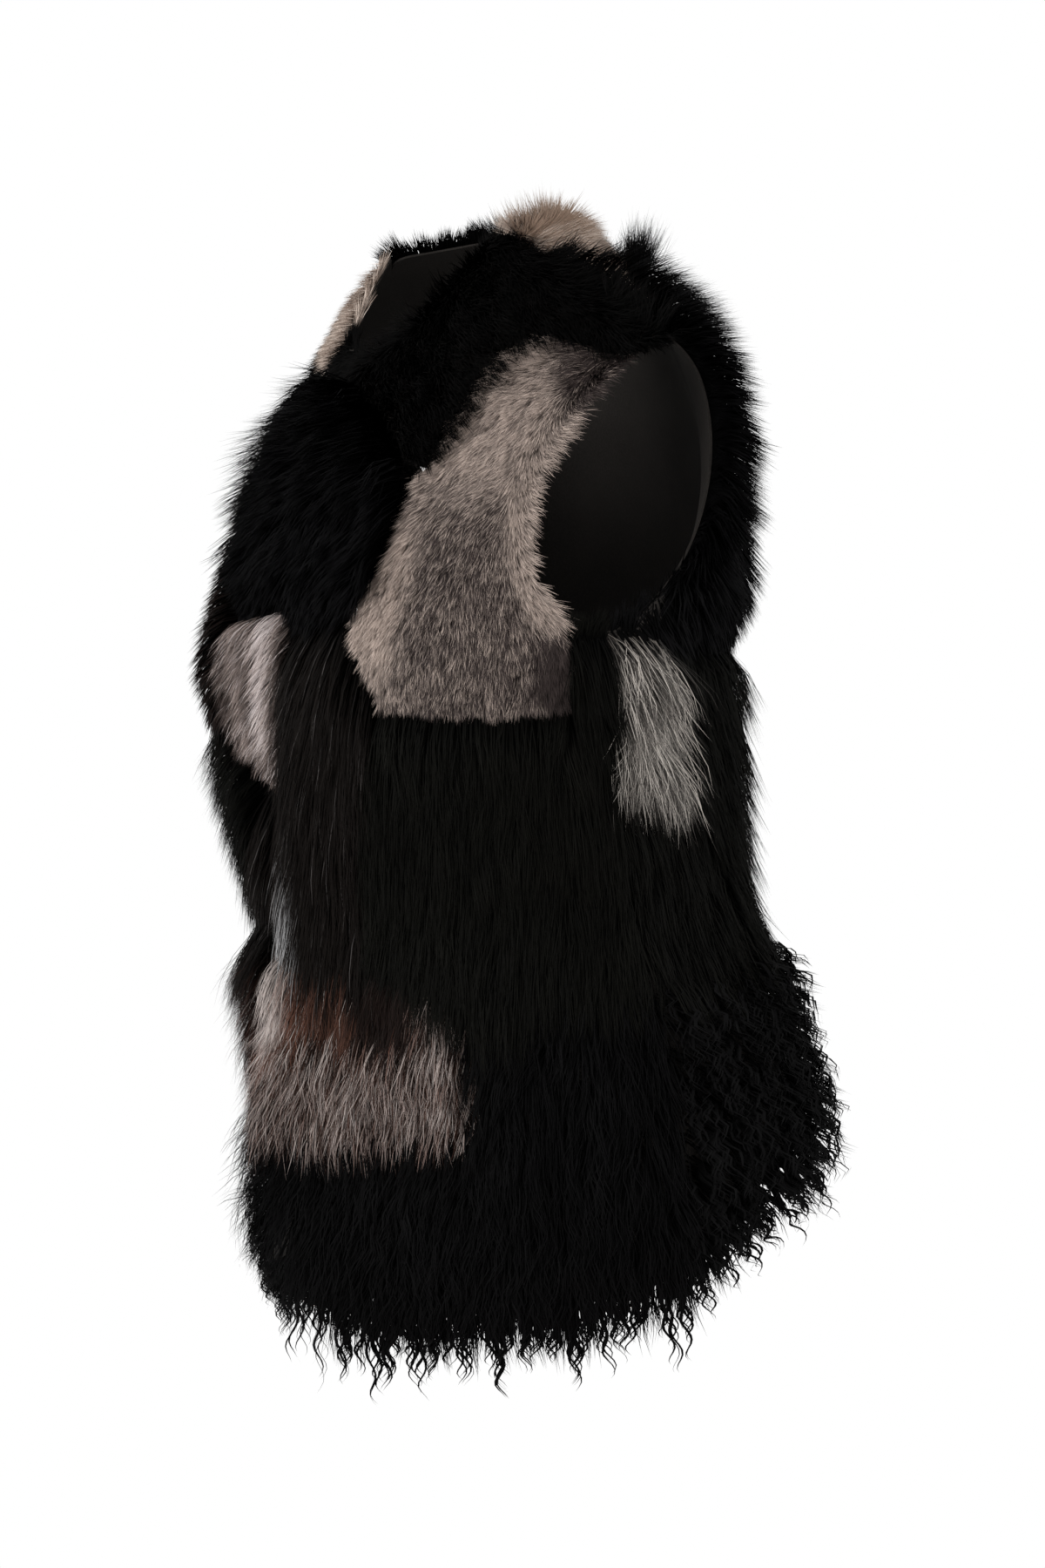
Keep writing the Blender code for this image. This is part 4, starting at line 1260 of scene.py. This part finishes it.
def suede_finish():
    """The flesh side of the hides: dark dyed suede with a fine nap and faint cloudy wear."""
    material, tree, shader = new_finish("dyed_suede")
    place = wire(tree, "ShaderNodeTexCoord", out="Object")
    cloud = wire(tree, "ShaderNodeTexNoise", {"Vector": place, "Scale": 28.0, "Detail": 4.0})
    grain = wire(tree, "ShaderNodeTexNoise", {"Vector": place, "Scale": 900.0, "Detail": 2.0})
    tone = blended(tree, cloud, SUEDE_DARK, SUEDE_PALE)
    fleck = wire(tree, "ShaderNodeMapRange", {"Value": grain, "From Min": 0.35, "From Max": 0.75})
    tone = blended(tree, maths(tree, "MULTIPLY", fleck, FLECK_SHARE), tone, SUEDE_FLECK)
    tree.links.new(tone, shader.inputs["Base Color"])
    rough = wire(tree, "ShaderNodeMapRange", {"Value": grain, "To Min": 0.78, "To Max": 0.95})
    tree.links.new(rough, shader.inputs["Roughness"])
    raised = {"Strength": 0.35, "Distance": 0.0006, "Height": grain}
    tree.links.new(wire(tree, "ShaderNodeBump", raised), shader.inputs["Normal"])
    shader.inputs["Specular IOR Level"].default_value = 0.15
    return material


def floor_finish():
    material, tree, shader = new_finish("pale_floor")
    place = wire(tree, "ShaderNodeTexCoord", out="Object")
    cloud = wire(tree, "ShaderNodeTexNoise", {"Vector": place, "Scale": 1.5, "Detail": 3.0})
    tone = blended(tree, cloud, *FLOOR_TONES)
    tree.links.new(tone, shader.inputs["Base Color"])
    shader.inputs["Roughness"].default_value = 0.7
    return material


# Room


def view_axes():
    """To the right of the picture, up, and back towards the camera."""
    right = Vector((math.cos(VIEW_AZIMUTH), math.sin(VIEW_AZIMUTH), 0.0))
    back = Vector((math.sin(VIEW_AZIMUTH), -math.cos(VIEW_AZIMUTH), 0.0))
    return right, Vector((0.0, 0.0, 1.0)), back


def set_camera():
    right, up, back = view_axes()
    lens = bpy.data.cameras.new("camera")
    lens.sensor_fit = "VERTICAL"
    lens.sensor_height = SENSOR_HEIGHT_MM
    lens.lens = SENSOR_HEIGHT_MM * PX_PER_METRE * VIEW_DISTANCE / IMAGE_HEIGHT_PX
    camera = bpy.data.objects.new("camera", lens)
    place = back * VIEW_DISTANCE + right * VIEW_SIDESTEP + up * VIEW_HEIGHT
    camera.matrix_world = Matrix.Translation(place) @ Matrix((right, up, back)).transposed().to_4x4()
    bpy.context.scene.collection.objects.link(camera)
    bpy.context.scene.camera = camera


def add_softbox(name, across, height, towards, width, watts):
    """A large square lamp, placed across, up and towards the camera, and turned to the gilet."""
    right, up, back = view_axes()
    middle = Vector((0.0, 0.0, VIEW_HEIGHT))
    lamp = bpy.data.lights.new(name, "AREA")
    lamp.size = width
    lamp.energy = watts
    softbox = bpy.data.objects.new(name, lamp)
    softbox.location = middle + right * across + up * height + back * towards
    softbox.rotation_euler = (middle - softbox.location).to_track_quat("-Z", "Y").to_euler()
    bpy.context.scene.collection.objects.link(softbox)


def white_world():
    """A white room: full white behind the gilet, and a softer light from it."""
    world = bpy.data.worlds.new("white_room")
    world.use_nodes = True
    tree = world.node_tree
    shown = wire(tree, "ShaderNodeLightPath", out="Is Camera Ray")
    background = tree.nodes["Background"]
    background.inputs["Color"].default_value = (1.0, 1.0, 1.0, 1.0)
    strength = maths(tree, "MULTIPLY_ADD", shown, 1.0 - ROOM_LIGHT, ROOM_LIGHT)
    tree.links.new(strength, background.inputs["Strength"])
    return world


def set_room():
    scene = bpy.context.scene
    scene.view_settings.view_transform = "Standard"
    scene.world = white_world()
    add_softbox("left_softbox", across=-1.6, height=0.9, towards=1.4, width=1.2, watts=45.0)
    add_softbox("right_softbox", across=1.8, height=0.6, towards=0.9, width=1.2, watts=20.0)
    mesh = bmesh.new()
    bmesh.ops.create_circle(mesh, cap_ends=True, radius=FLOOR_RADIUS, segments=FLOOR_SIDES)
    bmesh.ops.translate(mesh, verts=mesh.verts, vec=(0.0, 0.0, FLOOR_HEIGHT))
    ground = plain_mesh("floor", mesh)
    ground.materials.append(floor_finish())
    placed(ground)


# The gilet


def make_kit():
    """What every piece is made with: the pile's nodes, the blades and the finishes."""
    kinds = sorted({(fur.blade.segments, fur.blade.taper) for fur in FURS.values()})
    tree = pile_tree()
    blades = {kind: blade_strip(*kind) for kind in kinds}
    group = tone_group()
    finishes = {name: fur_finish(name, hair, group) for name, hair in HAIRS.items()}
    return Kit(tree, blades, finishes, suede_finish())


def hem_rows(piece, ground, seed, finish, kit):
    """The fringe and the ringlets along a hem, in place of its locks."""
    node = HEM_LOCKS[piece.node]
    band = hem_ground(piece, ground)
    rows = []
    for row, (name, per_cm2) in HEM_FURS.items():
        seed += HEM_SEED_STEP
        locks = planted(f"{node}_{row}", band, FURS[name], per_cm2, seed, finish, kit)
        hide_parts(node)
        rows.append(locks)
    return rows


def edge_row(piece, ground, edge, seed, finish, kit):
    """Short fur along the free edges of a piece."""
    band = edge_ground(f"{piece.node}_edge", ground, edge)
    fuzz = FURS["edge_fuzz"]
    row = planted(f"{piece.node}_edge_fur", band, fuzz, EDGE_PER_CM2, seed + EDGE_SEED, finish, kit)
    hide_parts(piece.node)
    return row


def tuft_row(piece, ground, rims, seed, finish, kit):
    """Tufts on the yoke, along its seam behind the beige neck patch."""
    places, ways = sewn_edge(rims, piece.node, NECK_PATCH)
    x, y, _ = places.T
    behind = (x > TUFT_FROM) & (x < TUFT_TO) & (y > TUFT_BACK)
    band = edge_ground("tuft_ground", ground, (places[behind], ways[behind]))
    row = planted(f"{piece.node}_tufts", band, FURS["tuft"], TUFT_PER_CM2, seed + TUFT_SEED, finish, kit)
    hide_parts(piece.node)
    return row


def make_gilet():
    kit = make_kit()
    layers = {piece.node: hide_side(piece.node) for piece in PIECES}
    grounds = {node: evaluated_copy(f"{node}_ground", layer, rounded) for node, layer in layers.items()}
    rims = {node: rim(ground)[1:] for node, ground in grounds.items()}
    free = free_edges(rims)
    for number, piece in enumerate(PIECES, start=1):
        node = piece.node
        seed = PIECE_SEEDS * number
        slot = SHARED_SLOTS.get(piece.fur, piece.fur)
        finish = kit.finishes[slot]
        ground = grounds[node]
        prepare_ground(piece, ground, free[node], rims)
        skin = hide(piece, layers[node], kit.suede)
        pile = planted(f"{node}_pile", ground, FURS[piece.fur], piece.per_cm2, seed, finish, kit)
        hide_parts(node)
        on_skin = [pile]
        if node in HEM_LOCKS:
            on_skin += hem_rows(piece, ground, seed, finish, kit)
        elif len(free[node][0]):
            on_skin.append(edge_row(piece, ground, free[node], seed, finish, kit))
        if node == YOKE:
            on_skin.append(tuft_row(piece, ground, rims, seed, finish, kit))
        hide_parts(node)
        for thing in (skin, *on_skin):
            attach(thing, "root")
    for holder in kit.blades.values():
        bpy.data.objects.remove(holder)


set_camera()
set_room()
make_gilet()
